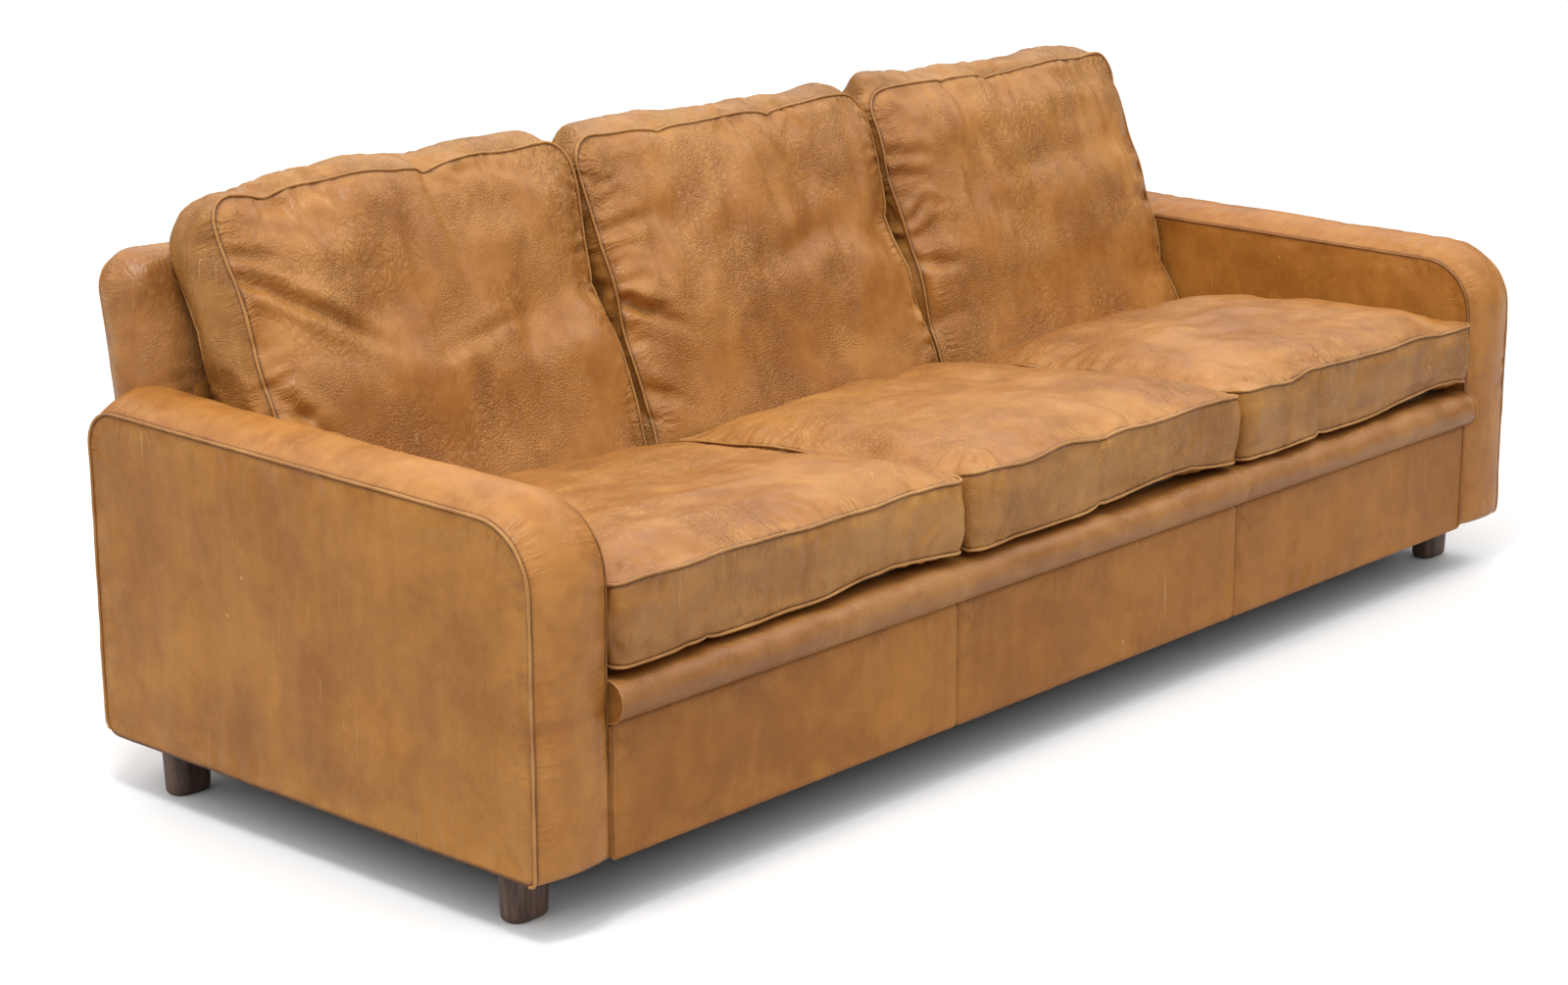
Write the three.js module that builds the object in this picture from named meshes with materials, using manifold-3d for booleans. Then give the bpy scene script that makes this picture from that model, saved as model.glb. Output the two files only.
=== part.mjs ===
// A three-seat leather sofa on short wooden feet, with six loose cushions.
// Millimetres, +Z up. The front faces -Y, and left and right are as seen from the front.
// Everything is laid out from the arms' front plane, y = 0, and centred over the origin at the end.
import * as THREE from 'three';
import { mergeVertices } from 'three/addons/utils/BufferGeometryUtils.js';
import Module from 'manifold-3d';

const wasm = await Module();
wasm.setup();

// ---------------------------------------------------------------- driving dimensions

const sofaWidth = 2100;
const seatCount = 3;
const undersideHeight = 73;
const fitGap = 0.4;

const armThickness = 117;
const armDepth = 793;
const armFrontHeight = 490;
const armRise = 11;
const armTopCrown = 24;
const armEndCrown = 14;
const armTopFrontRadius = 80;
const armTopRearRadius = 45;
const armBottomRearRadius = 20;
const armBottomFrontRadius = 6;

const leather = 2.5;
const armFoam = 24;

const board = 28;
const postDepth = 45;
const uprightWidth = 40;

const apronTop = 238;
const apronSkin = 3.5;
const apronReturn = 26;
const rollProud = 30;
const rollDrop = 3;
const rollDepth = 64;

const deckFrontHeight = 301;
const deckSlope = THREE.MathUtils.degToRad(4.5);
const strapDrop = 66;
const strapWidth = 60;
const strapThickness = 2.5;
const strapsPerSeat = 2;

const backTop = 690;
const backOverhang = 18;
const backLean = THREE.MathUtils.degToRad(9);
const backThickness = 66;
const backEndInset = 45;
const backCornerRadius = 50;
const backFoam = 18;
const backBendRadius = 20;
const wingEdgeRadius = 8;
const backTuck = 18;
const backFootProud = 10;
const uprightLap = 30;

const cushionSideGap = 3;
const cushionDeckGap = 1.5;
const cushionCorner = 38;
const cushionEdgeRound = 8;
const seatOverhang = 24;
const seatBoxing = 100;
const seatCrown = 28;
const backCushionThickness = 102;
const backCushionHeight = 508;
const backCushionLean = THREE.MathUtils.degToRad(21);
const backCushionCrown = 25;
const backCushionRest = 3;
const cushionNip = 19;
const zipWidth = 12;
const zipEndMargin = 90;

const footLength = 66;
const footWidth = 45;
const footTaper = 3;
const footEdge = 5;
const footFrontInset = 83;
const footRearInset = 85;
const dustCloth = 1.5;

const boltRadius = 4;
const boltClearance = 0.5;
const boltHeadRadius = 7;
const boltHeadHeight = 5;
const footBoltIntoFoot = 45;
const footBoltIntoRail = 22;
const armBoltIntoPost = 40;
const armBoltEdge = 14;

// How finely the rounded shapes are cut.
const cornerSteps = 5;
const roundSides = 12;
const crispRadius = 1;
const crownStations = [-1, -0.8, -0.4, 0, 0.4, 0.8, 1];

// A cushion's crowned face: [share of the crown's height, distance in from the edge].
const crownRings = [[0.42, 34], [0.8, 90], [0.97, 160]];

// ---------------------------------------------------------------- worked-out places

const halfWidth = sofaWidth / 2;
const innerHalf = halfWidth - armThickness;
const armMiddle = halfWidth - armThickness / 2;
const armRearHeight = armFrontHeight + armRise;
const seatPitch = (2 * innerHalf) / seatCount;
const armShellInset = leather + fitGap;
const armFrameInset = leather + armFoam + 2 * fitGap;
const armFrameSetback = 0.3 * (armTopFrontRadius - armFrameInset);
const armFrameFront = armFrameInset + armFrameSetback;
const armFrameRear = armDepth - armFrameInset - 0.3 * armTopRearRadius;
const armFrameTop = armFrontHeight - armFrameInset - armFrameSetback;
const armFrameHalf = armThickness / 2 - armFrameInset - fitGap;
const armPostFoot = undersideHeight + board + 2 * fitGap;
const armBoltHeight = armPostFoot + armBoltEdge;
const armBoltEnd = innerHalf + armFrameInset + armBoltIntoPost;
const frameFloor = undersideHeight + apronSkin + fitGap;
const strapTopFront = deckFrontHeight - strapDrop;
const backCentreInset = backThickness / 2;
const backEnd = halfWidth - backEndInset;
const wingBottom = armRearHeight + armTopCrown + 1;
const backRearFoot = armDepth + backFootProud;
const backSlant = wingBottom * Math.tan(backLean) + backThickness / Math.cos(backLean);
const backFaceAtFloor = armDepth + backOverhang - backSlant;
const rollHeight = deckFrontHeight - rollDrop - apronTop;

const sides = [['left', -1], ['right', 1]];
const seatNames = ['left', 'middle', 'right'];

const tanLeather = '#b27c47';
const cushionLeather = '#b98450';
const foamColour = '#d8cfa8';
const woodColour = '#b8905f';
const footColour = '#3a2c26';
const steelColour = '#8d9196';
const clothColour = '#6f5a45';
const blackCloth = '#1d1c1b';
const webbingColour = '#8c8272';

/** Height of the sloping deck at a distance behind the arms' front plane. */
function deckHeightAt(y) {
  return deckFrontHeight - y * Math.tan(deckSlope);
}

/** Top of the webbing straps, which run parallel to the deck. */
function strapTopAt(y) {
  return strapTopFront - y * Math.tan(deckSlope);
}

/** A point's y on the back's sloping front face, or at a depth into it. */
function backFaceAt(z, depth = 0) {
  return backFaceAtFloor + z * Math.tan(backLean) + depth / Math.cos(backLean);
}

const tanProduct = Math.tan(deckSlope) * Math.tan(backLean);
const deckRear = (backFaceAtFloor + deckFrontHeight * Math.tan(backLean)) / (1 + tanProduct);
const backFrontFoot = deckHeightAt(deckRear) - backTuck;
const uprightDepth = leather + backFoam + 2 * fitGap;
const rearRailTop = strapTopAt(armDepth) - strapThickness - fitGap;
const rearRailFront = backFaceAt(rearRailTop, uprightDepth + board) + fitGap;
const uprightFoot = rearRailTop - uprightLap;

// ---------------------------------------------------------------- geometry helpers

/** Corner points joined by straight lines, each corner rounded to its own radius. */
function roundedOutline(corners, radii, steps = cornerSteps) {
  const points = corners.map(([x, y]) => new THREE.Vector2(x, y));
  return points.flatMap((corner, index) => {
    const before = points[(index + points.length - 1) % points.length].clone().sub(corner).normalize();
    const after = points[(index + 1) % points.length].clone().sub(corner).normalize();
    const half = Math.acos(THREE.MathUtils.clamp(before.dot(after), -1, 1)) / 2;
    const radius = radii[index];
    const middle = before.clone().add(after).normalize().multiplyScalar(radius / Math.sin(half));
    const centre = corner.clone().add(middle);
    const reach = radius / Math.tan(half);
    const first = before.multiplyScalar(reach).add(corner).sub(centre).angle();
    const last = after.multiplyScalar(reach).add(corner).sub(centre).angle();
    const turn = THREE.MathUtils.euclideanModulo(last - first + Math.PI, 2 * Math.PI) - Math.PI;
    return Array.from({ length: steps + 1 }, (_, step) => {
      const angle = first + (turn * step) / steps;
      return [centre.x + radius * Math.cos(angle), centre.y + radius * Math.sin(angle)];
    });
  });
}

/** The four corners of a rectangle, anticlockwise from the low corner. */
function rectangle(x0, x1, y0, y1) {
  return [[x0, y0], [x1, y0], [x1, y1], [x0, y1]];
}

/** A closed outline pushed along +Z for a length. */
function extrude(outline, length) {
  const shape = new THREE.Shape(outline.map(([x, y]) => new THREE.Vector2(x, y)));
  return new THREE.ExtrudeGeometry(shape, { depth: length, bevelEnabled: false });
}

/** A (y, z) outline that spans from one x to another. */
function alongX(outline, x0, x1) {
  const turn = new THREE.Matrix4().set(0, 0, 1, x0, 1, 0, 0, 0, 0, 1, 0, 0, 0, 0, 0, 1);
  return extrude(outline, x1 - x0).applyMatrix4(turn);
}

/** An (x, z) outline that spans from one y to another. */
function alongY(outline, y0, y1) {
  const turn = new THREE.Matrix4().set(1, 0, 0, 0, 0, 0, -1, y1, 0, 1, 0, 0, 0, 0, 0, 1);
  return extrude(outline, y1 - y0).applyMatrix4(turn);
}

/** An (x, y) outline that spans from one z to another. */
function alongZ(outline, z0, z1) {
  return extrude(outline, z1 - z0).translate(0, 0, z0);
}

/** A plain box between two corners. */
function boxBetween(x0, x1, y0, y1, z0, z1) {
  return alongZ(rectangle(x0, x1, y0, y1), z0, z1);
}

/** A closed skin over a stack of rings with equal counts, with a fan over each end. */
function loft(rings, lowTip, highTip) {
  const count = rings[0].length;
  const vertices = [...rings.flat(), lowTip, highTip];
  const low = rings.length * count;
  const faces = [];
  for (let ring = 0; ring < rings.length - 1; ring += 1) {
    for (let spot = 0; spot < count; spot += 1) {
      const a = ring * count + spot;
      const b = ring * count + ((spot + 1) % count);
      faces.push(a, b, b + count, a, b + count, a + count);
    }
  }
  for (let spot = 0; spot < count; spot += 1) {
    const next = (spot + 1) % count;
    const top = (rings.length - 1) * count;
    faces.push(next, spot, low, top + spot, top + next, low + 1);
  }
  const geometry = new THREE.BufferGeometry();
  geometry.setAttribute('position', new THREE.Float32BufferAttribute(vertices.flat(), 3));
  geometry.setIndex(faces);
  return geometry;
}

/** A closed geometry as a solid that can be joined and cut. */
function solid(geometry) {
  const bare = geometry.clone();
  bare.deleteAttribute('normal');
  bare.deleteAttribute('uv');
  const merged = mergeVertices(bare, 1e-4);
  return new wasm.Manifold(new wasm.Mesh({
    numProp: 3,
    vertProperties: new Float32Array(merged.attributes.position.array),
    triVerts: new Uint32Array(merged.index.array),
  }));
}

/** A joined or cut solid as a geometry again. */
function geometryOf(result) {
  const mesh = result.getMesh();
  const geometry = new THREE.BufferGeometry();
  geometry.setAttribute('position', new THREE.BufferAttribute(new Float32Array(mesh.vertProperties), 3));
  geometry.setIndex(new THREE.BufferAttribute(new Uint32Array(mesh.triVerts), 1));
  return geometry;
}

/** One geometry with others cut away. */
function cut(geometry, ...tools) {
  return geometryOf(tools.reduce((rest, tool) => rest.subtract(solid(tool)), solid(geometry)));
}

/** An upright round rod between two heights. */
function rodUp(x, y, z0, z1, radius, sidesAround = roundSides) {
  const rod = new THREE.CylinderGeometry(radius, radius, z1 - z0, sidesAround);
  return rod.rotateX(Math.PI / 2).translate(x, y, (z0 + z1) / 2);
}

/** A level round rod along X. */
function rodAcross(x0, x1, y, z, radius, sidesAround = roundSides) {
  const rod = new THREE.CylinderGeometry(radius, radius, Math.abs(x1 - x0), sidesAround);
  return rod.rotateZ(Math.PI / 2).translate((x0 + x1) / 2, y, z);
}

const sofa = new THREE.Group();

/** Adds one named piece with its own finish. */
function add(name, geometry, colour, roughness = 0.6, metalness = 0) {
  const material = new THREE.MeshStandardMaterial({ color: colour, roughness, metalness });
  const mesh = new THREE.Mesh(geometry, material);
  mesh.name = name;
  sofa.add(mesh);
  return mesh;
}

// ---------------------------------------------------------------- arms

/** The arm's side outline at one station, grown by its share of the crown and shrunk by an inset. */
function armOutline(inset, share, floor) {
  const ends = armEndCrown * share - inset;
  const top = armTopCrown * share - inset;
  const corners = [
    [-ends, floor],
    [armDepth + ends, floor],
    [armDepth + ends, armRearHeight + top],
    [-ends, armFrontHeight + top],
  ];
  const radii = [armBottomFrontRadius, armBottomRearRadius, armTopRearRadius, armTopFrontRadius];
  return roundedOutline(corners, radii.map((radius) => Math.max(radius - inset, crispRadius)));
}

/** The whole arm as a crowned block, smaller by an inset all round and standing on a floor height. */
function armBlock(side, inset, floor) {
  const half = armThickness / 2 - inset;
  const centre = side * armMiddle;
  const rings = crownStations.map((station) => {
    const share = 1 - station * station;
    return armOutline(inset, share, floor).map(([y, z]) => [centre + station * half, y, z]);
  });
  const tip = (x) => [x, armDepth / 2, (floor + armFrontHeight) / 2];
  return loft(rings, tip(centre - half), tip(centre + half));
}

const armPostPlaces = [['front', armFrameFront], ['rear', rearRailFront - postDepth]];
const armFootPlaces = [
  ['front', footFrontInset],
  ['rear', armDepth - footRearInset],
];

/** The clearance holes for both of an arm's fixing bolts. */
function armBoltHoles(side) {
  const inside = side * (innerHalf - 2 * board);
  const outside = side * (armBoltEnd + 2);
  const radius = boltRadius + boltClearance;
  return armPostPlaces.map(([, y]) => (
    rodAcross(inside, outside, y + postDepth / 2, armBoltHeight, radius)
  ));
}

/** Leather, foam and the four boards inside one arm. */
function addArm(name, side) {
  const open = undersideHeight - 2 * armBottomRearRadius;
  const holes = armBoltHoles(side);
  const skin = armBlock(side, 0, undersideHeight);
  const skinHollow = armBlock(side, leather, open);
  add(`arm_leather_${name}`, cut(skin, skinHollow, ...holes), tanLeather, 0.5);
  const foam = armBlock(side, armShellInset, undersideHeight + fitGap);
  const foamHollow = armBlock(side, armFrameInset, open);
  add(`arm_padding_${name}`, cut(foam, foamHollow, ...holes), foamColour, 0.95);
  addArmFrame(name, side, holes);
}

/** Two posts between a bottom and a top rail. */
function addArmFrame(name, side, holes) {
  const x0 = side * armMiddle - armFrameHalf;
  const x1 = side * armMiddle + armFrameHalf;
  const low = undersideHeight + fitGap;
  const topBottom = armFrameTop - board;
  const footHoles = armFootPlaces.map(([, y]) => (
    rodUp(side * armMiddle, y, low - 1, low + footBoltIntoRail + 3, boltRadius + boltClearance)
  ));
  const bottomRail = boxBetween(x0, x1, armFrameFront, armFrameRear, low, low + board);
  add(`arm_bottom_rail_${name}`, cut(bottomRail, ...footHoles), woodColour, 0.8);
  const topRail = boxBetween(x0, x1, armFrameFront, armFrameRear, topBottom, armFrameTop);
  add(`arm_top_rail_${name}`, topRail, woodColour, 0.8);
  armPostPlaces.forEach(([end, y], index) => {
    const post = boxBetween(x0, x1, y, y + postDepth, armPostFoot, topBottom - fitGap);
    add(`arm_${end}_post_${name}`, cut(post, holes[index]), woodColour, 0.8);
  });
}

/** A bolt with a round head, from inside the seat frame into the arm's post. */
function addArmBolt(name, side, y) {
  const headFace = side * (innerHalf - board - 2 * fitGap);
  const headEnd = headFace - side * boltHeadHeight;
  const shank = solid(rodAcross(headEnd, side * armBoltEnd, y, armBoltHeight, boltRadius));
  const head = solid(rodAcross(headEnd, headFace, y, armBoltHeight, boltHeadRadius));
  add(`arm_bolt_${name}`, geometryOf(shank.add(head)), steelColour, 0.35, 1);
}

// ---------------------------------------------------------------- feet

/** A flattened oval outline round a centre. */
function footOutline(x, y, inset) {
  const halfLength = footLength / 2 - inset;
  const halfDepth = footWidth / 2 - inset;
  const corners = rectangle(x - halfLength, x + halfLength, y - halfDepth, y + halfDepth);
  return roundedOutline(corners, Array(4).fill(halfDepth - crispRadius));
}

/** A tapered wooden foot with a blind hole, and the double-ended bolt that holds it. */
function addFoot(name, side, y) {
  const x = side * armMiddle;
  const top = undersideHeight - dustCloth - 2 * fitGap;
  const levels = [
    [0, footTaper + footEdge],
    [footEdge / 3, footTaper + footEdge / 3],
    [footEdge, footTaper],
    [top, 0],
  ];
  const rings = levels.map(([z, inset]) => footOutline(x, y, inset).map(([u, v]) => [u, v, z]));
  const hole = rodUp(x, y, top - footBoltIntoFoot - 2, top + 1, boltRadius + boltClearance);
  add(`foot_${name}`, cut(loft(rings, [x, y, 0], [x, y, top]), hole), footColour, 0.5);
  const boltTop = undersideHeight + fitGap + footBoltIntoRail;
  add(`foot_bolt_${name}`, rodUp(x, y, top - footBoltIntoFoot, boltTop, boltRadius), steelColour, 0.35, 1);
}

/** The black cloth stapled under the whole sofa, with holes where the feet's bolts pass. */
function addDustCloth() {
  const top = undersideHeight - fitGap;
  const edge = armBottomRearRadius / 2;
  const x = halfWidth - edge;
  const armEnd = armDepth - armBottomRearRadius;
  const backEdge = backRearFoot - 2 * leather;
  const outline = [
    [-x, edge], [x, edge], [x, armEnd], [innerHalf, armEnd],
    [innerHalf, backEdge], [-innerHalf, backEdge], [-innerHalf, armEnd], [-x, armEnd],
  ];
  const sheet = alongZ(outline, top - dustCloth, top);
  const holes = sides.flatMap(([, side]) => armFootPlaces.map(([, y]) => (
    rodUp(side * armMiddle, y, top - dustCloth - 1, top + 1, boltRadius + boltClearance)
  )));
  add('dust_cloth', cut(sheet, ...holes), blackCloth, 0.95);
}

// ---------------------------------------------------------------- seat frame and deck

/** Front, rear and side rails with one brace, all between the arms. */
function addSeatFrame() {
  const reach = innerHalf - fitGap;
  const frontTop = strapTopAt(board) - strapThickness - fitGap;
  add('seat_front_rail', boxBetween(-reach, reach, 0, board, frameFloor, frontTop), woodColour, 0.8);
  const rearRail = boxBetween(-reach, reach, rearRailFront, rearRailFront + board, frameFloor, rearRailTop);
  add('seat_rear_rail', rearRail, woodColour, 0.8);
  const y0 = board + fitGap;
  const y1 = rearRailFront - fitGap;
  for (const [name, side] of sides) {
    const xs = [side * reach, side * (reach - board)].sort((a, b) => a - b);
    const rail = boxBetween(xs[0], xs[1], y0, y1, frameFloor, rearRailTop);
    add(`seat_side_rail_${name}`, cut(rail, ...armBoltHoles(side)), woodColour, 0.8);
  }
  const brace = boxBetween(-board / 2, board / 2, y0, y1, frameFloor, uprightFoot - fitGap);
  add('seat_centre_brace', brace, woodColour, 0.8);
}

/** Elastic straps from the front rail to the rear rail, two under each seat. */
function addStraps() {
  const y0 = apronSkin;
  const y1 = rearRailFront + board - apronSkin;
  const outline = [
    [y0, strapTopAt(y0) - strapThickness],
    [y1, strapTopAt(y1) - strapThickness],
    [y1, strapTopAt(y1)],
    [y0, strapTopAt(y0)],
  ];
  const total = seatCount * strapsPerSeat;
  for (let index = 0; index < total; index += 1) {
    const x = -innerHalf + ((index + 0.5) * 2 * innerHalf) / total;
    const strap = alongX(outline, x - strapWidth / 2, x + strapWidth / 2);
    add(`webbing_strap_${index + 1}`, strap, webbingColour, 0.9);
  }
}

/** The foam slab on the straps and the cloth over it. */
function addDeck() {
  const reach = innerHalf - 2 * fitGap;
  const y0 = rollDepth - rollProud + fitGap;
  const y1 = backFaceAt(backFrontFoot) - fitGap;
  const layer = (low, high) => [[y0, low(y0)], [y1, low(y1)], [y1, high(y1)], [y0, high(y0)]];
  const foamBottom = (y) => strapTopAt(y) + fitGap;
  const foamTop = (y) => deckHeightAt(y) - leather - fitGap;
  add('deck_padding', alongX(layer(foamBottom, foamTop), -reach, reach), foamColour, 0.95);
  const clothBottom = (y) => deckHeightAt(y) - leather;
  add('deck_cloth', alongX(layer(clothBottom, deckHeightAt), -reach, reach), clothColour, 0.9);
}

/** The stuffed roll along the seat's front edge, round in front and square behind. */
function addFrontRoll() {
  const low = apronTop + fitGap;
  const high = low + rollHeight;
  const corners = rectangle(-rollProud, rollDepth - rollProud, low, high);
  const nose = rollHeight / 2 - crispRadius;
  const outline = roundedOutline(corners, [nose, crispRadius, crispRadius, nose]);
  const reach = innerHalf - fitGap;
  add('front_roll', alongX(outline, -reach, reach), tanLeather, 0.5);
}

/** Leather panels over the front rail, one below each seat, turned under the rail. */
function addApron() {
  const outline = [
    [-apronSkin - fitGap, undersideHeight + fitGap / 2],
    [apronReturn, undersideHeight + fitGap / 2],
    [apronReturn, undersideHeight + fitGap / 2 + leather],
    [-fitGap, undersideHeight + fitGap / 2 + leather],
    [-fitGap, apronTop],
    [-apronSkin - fitGap, apronTop],
  ];
  seatNames.forEach((name, index) => {
    const x0 = -innerHalf + index * seatPitch + fitGap;
    const x1 = x0 + seatPitch - 2 * fitGap;
    add(`apron_panel_${name}`, alongX(outline, x0, x1), tanLeather, 0.5);
  });
}

// ---------------------------------------------------------------- back

/** The back's end outline: leaning in front, upright behind up to the arms, then leaning too. */
function backOutline(inset, drop) {
  const rear = (z) => backFaceAt(z, backThickness - inset);
  const top = backTop - inset;
  const corners = [
    [backFaceAt(backFrontFoot - drop, inset), backFrontFoot - drop],
    [backRearFoot - inset, undersideHeight + fitGap - drop],
    [rear(wingBottom), wingBottom],
    [rear(top), top],
    [backFaceAt(top, inset), top],
  ];
  const nose = backThickness / 2 - crispRadius - inset;
  return roundedOutline(corners, [crispRadius, crispRadius, backBendRadius, nose, nose]);
}

/** The back seen from the front: wide above the arms and narrow between them. */
function backFrontOutline(inset, neckHalf, drop) {
  const end = backEnd - inset;
  const low = undersideHeight + fitGap - drop;
  const wing = wingBottom + inset;
  const top = backTop - inset;
  const corners = [
    [-neckHalf, low], [neckHalf, low], [neckHalf, wing], [end, wing],
    [end, top], [-end, top], [-end, wing], [-neckHalf, wing],
  ];
  const corner = backCornerRadius - inset;
  const half = [crispRadius, crispRadius, wingEdgeRadius, corner];
  return roundedOutline(corners, [crispRadius, ...half, ...half.toReversed().slice(0, 3)]);
}

/** The back's whole form at an inset, cut to its front outline. */
function backBlock(inset, neckHalf, drop) {
  const length = alongX(backOutline(inset, drop), -backEnd + inset, backEnd - inset);
  const face = alongY(backFrontOutline(inset, neckHalf, drop), 0, 2 * armDepth);
  return geometryOf(solid(length).intersect(solid(face)));
}

/** A leaning layer of the back between two depths, two heights and two x values. */
function backLayer(x0, x1, z0, z1, depth0, depth1) {
  const outline = [
    [backFaceAt(z0, depth0), z0],
    [backFaceAt(z0, depth1), z0],
    [backFaceAt(z1, depth1), z1],
    [backFaceAt(z1, depth0), z1],
  ];
  return alongX(outline, x0, x1);
}

/** Leather cover, foam, a top rail and three uprights. */
function addBack() {
  const neck = innerHalf - fitGap;
  const drop = backTuck * 2;
  const cover = cut(backBlock(0, neck, 0), backBlock(leather, innerHalf + drop, drop));
  add('back_leather', cover, tanLeather, 0.5);
  const foamDepths = [leather + fitGap, leather + fitGap + backFoam];
  const foamTop = backTop - backCentreInset;
  const wingEnd = backEnd - backCornerRadius / 3;
  const railLow = wingBottom + leather + fitGap;
  const neckFoam = backLayer(-neck, neck, backFrontFoot, foamTop, ...foamDepths);
  const wingFoam = backLayer(-wingEnd, wingEnd, railLow, foamTop, ...foamDepths);
  add('back_padding', geometryOf(solid(neckFoam).add(solid(wingFoam))), foamColour, 0.95);
  const boardDepths = [uprightDepth, uprightDepth + board];
  const topRail = backLayer(-wingEnd, wingEnd, railLow, foamTop, ...boardDepths);
  add('back_top_rail', topRail, woodColour, 0.8);
  const endUpright = innerHalf - 2 * board - uprightWidth / 2;
  const places = [['left', -endUpright], ['centre', 0], ['right', endUpright]];
  for (const [name, x] of places) {
    const half = uprightWidth / 2;
    const upright = backLayer(x - half, x + half, uprightFoot, railLow - fitGap, ...boardDepths);
    add(`back_upright_${name}`, upright, woodColour, 0.8);
  }
}

// ---------------------------------------------------------------- loose cushions

const seatLean = backCushionLean - deckSlope;
const noseHeight = backTop - backCentreInset;
const noseCentre = backFaceAt(noseHeight, backCentreInset);
const leanCos = Math.cos(backCushionLean);
const leanSin = Math.sin(backCushionLean);

// How far a plane parallel to the back cushions lies from the origin, measured along its normal.
const noseOffset = noseCentre * leanCos - noseHeight * leanSin;
const backCushionRear = noseOffset - backCentreInset - backCushionRest;
const backCushionFront = backCushionRear - backCushionThickness;
const seatRearOffset = backCushionFront - cushionNip;

/** How high along the lean a plane at that offset, leaning like the back cushions, meets the deck. */
function leanHeightOnDeck(offset) {
  const slope = Math.tan(deckSlope);
  return (deckFrontHeight - offset * leanCos * slope + offset * leanSin) / (leanCos + leanSin * slope);
}

/** The place along the deck of the seat cushion's slanting rear face at a height over the deck. */
function seatRearAt(height) {
  const start = -deckFrontHeight * leanSin;
  return (seatRearOffset - start + height * Math.sin(seatLean)) / Math.cos(seatLean);
}

/** Rings from one face of a cushion to the other: [height, how far the ring is drawn in]. */
function cushionLevels(thickness, crown) {
  const edge = cushionEdgeRound;
  const top = thickness;
  return [
    [0, 3 * edge],
    [edge * 0.6, edge * 0.6],
    [2 * edge, 0],
    [top - 2 * edge, 0],
    [top - edge * 0.4, edge * 0.6],
    ...crownRings.map(([share, distance]) => [top + crown * share, edge + distance]),
  ];
}

/** A seat cushion on the deck, in the deck's own frame, smaller by an inset. */
function seatCushionBlock(inset) {
  const half = seatPitch / 2 - cushionSideGap;
  const middle = seatBoxing / 2;
  const levels = cushionLevels(seatBoxing, seatCrown);
  const scale = (middle - inset) / middle;
  const rings = levels.map(([height, drawn]) => {
    const z = middle + (height - middle) * scale;
    const inwards = drawn + inset;
    const front = -seatOverhang + inwards;
    const corners = rectangle(-half + inwards, half - inwards, front, seatRearAt(z) - inwards);
    const radius = cushionCorner - inset - drawn / 10;
    return roundedOutline(corners, Array(4).fill(radius)).map(([x, y]) => [x, y, z + cushionDeckGap]);
  });
  const centre = (seatRearAt(middle) - seatOverhang) / 2;
  const high = middle + (seatBoxing + seatCrown - middle) * scale + cushionDeckGap;
  return loft(rings, [0, centre, rings[0][0][2]], [0, centre, high]);
}

/** A back cushion in its own leaning frame, front face towards -Y, smaller by an inset. */
function backCushionBlock(inset) {
  const half = seatPitch / 2 - cushionSideGap;
  const middle = backCushionThickness / 2;
  const levels = cushionLevels(backCushionThickness, backCushionCrown);
  const scale = (middle - inset) / middle;
  const rings = levels.map(([height, drawn]) => {
    const depth = middle + (height - middle) * scale;
    const inwards = drawn + inset;
    const corners = rectangle(-half + inwards, half - inwards, inwards, backCushionHeight - inwards);
    const radius = cushionCorner - inset - drawn / 10;
    return roundedOutline(corners, Array(4).fill(radius)).map(([x, z]) => [x, -depth, z]);
  });
  const centre = backCushionHeight / 2;
  const high = middle + (backCushionThickness + backCushionCrown - middle) * scale;
  return loft(rings, [0, rings[0][0][1], centre], [0, -high, centre]);
}

/** A leather cover with its zip's slit, and the filling inside it. */
function addCushion(name, block, slit, place) {
  const cover = add(`${name}_cover`, cut(block(0), block(leather), slit), cushionLeather, 0.5);
  const filling = add(`${name}_filling`, block(leather + fitGap), foamColour, 0.95);
  place(cover);
  place(filling);
}

/** All six loose cushions, a seat and a back one for each place. */
function addCushions() {
  const slitHalf = seatPitch / 2 - zipEndMargin;
  const halfZip = zipWidth / 2;
  const seatMiddle = seatBoxing / 2;
  const seatRear = seatRearAt(seatMiddle);
  const reach = 4 * leather + seatBoxing * Math.tan(seatLean);
  const seatSlit = boxBetween(-slitHalf, slitHalf, seatRear - reach, seatRear + reach,
    seatMiddle - halfZip, seatMiddle + halfZip);
  const backMiddle = -backCushionThickness / 2;
  const backSlit = boxBetween(-slitHalf, slitHalf, backMiddle - halfZip, backMiddle + halfZip,
    -leather, 4 * leather);
  const standing = leanHeightOnDeck(backCushionRear) + cushionDeckGap;
  seatNames.forEach((name, index) => {
    const x = -innerHalf + (index + 0.5) * seatPitch;
    addCushion(`seat_cushion_${name}`, seatCushionBlock, seatSlit, (mesh) => {
      mesh.position.set(x, 0, deckFrontHeight);
      mesh.rotation.x = -deckSlope;
    });
    addCushion(`back_cushion_${name}`, backCushionBlock, backSlit, (mesh) => {
      mesh.position.set(
        x,
        backCushionRear * leanCos + standing * leanSin,
        standing * leanCos - backCushionRear * leanSin,
      );
      mesh.rotation.x = -backCushionLean;
    });
  });
}

// ---------------------------------------------------------------- the whole sofa

for (const [name, side] of sides) {
  addArm(name, side);
  for (const [end, y] of armPostPlaces) addArmBolt(`${end}_${name}`, side, y + postDepth / 2);
  for (const [end, y] of armFootPlaces) addFoot(`${end}_${name}`, side, y);
}
addDustCloth();
addSeatFrame();
addStraps();
addDeck();
addFrontRoll();
addApron();
addBack();
addCushions();

sofa.updateMatrixWorld(true);
const bounds = new THREE.Box3().setFromObject(sofa, true);
sofa.position.y = -(bounds.min.y + bounds.max.y) / 2;
sofa.updateMatrixWorld(true);

export default sofa;
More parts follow.
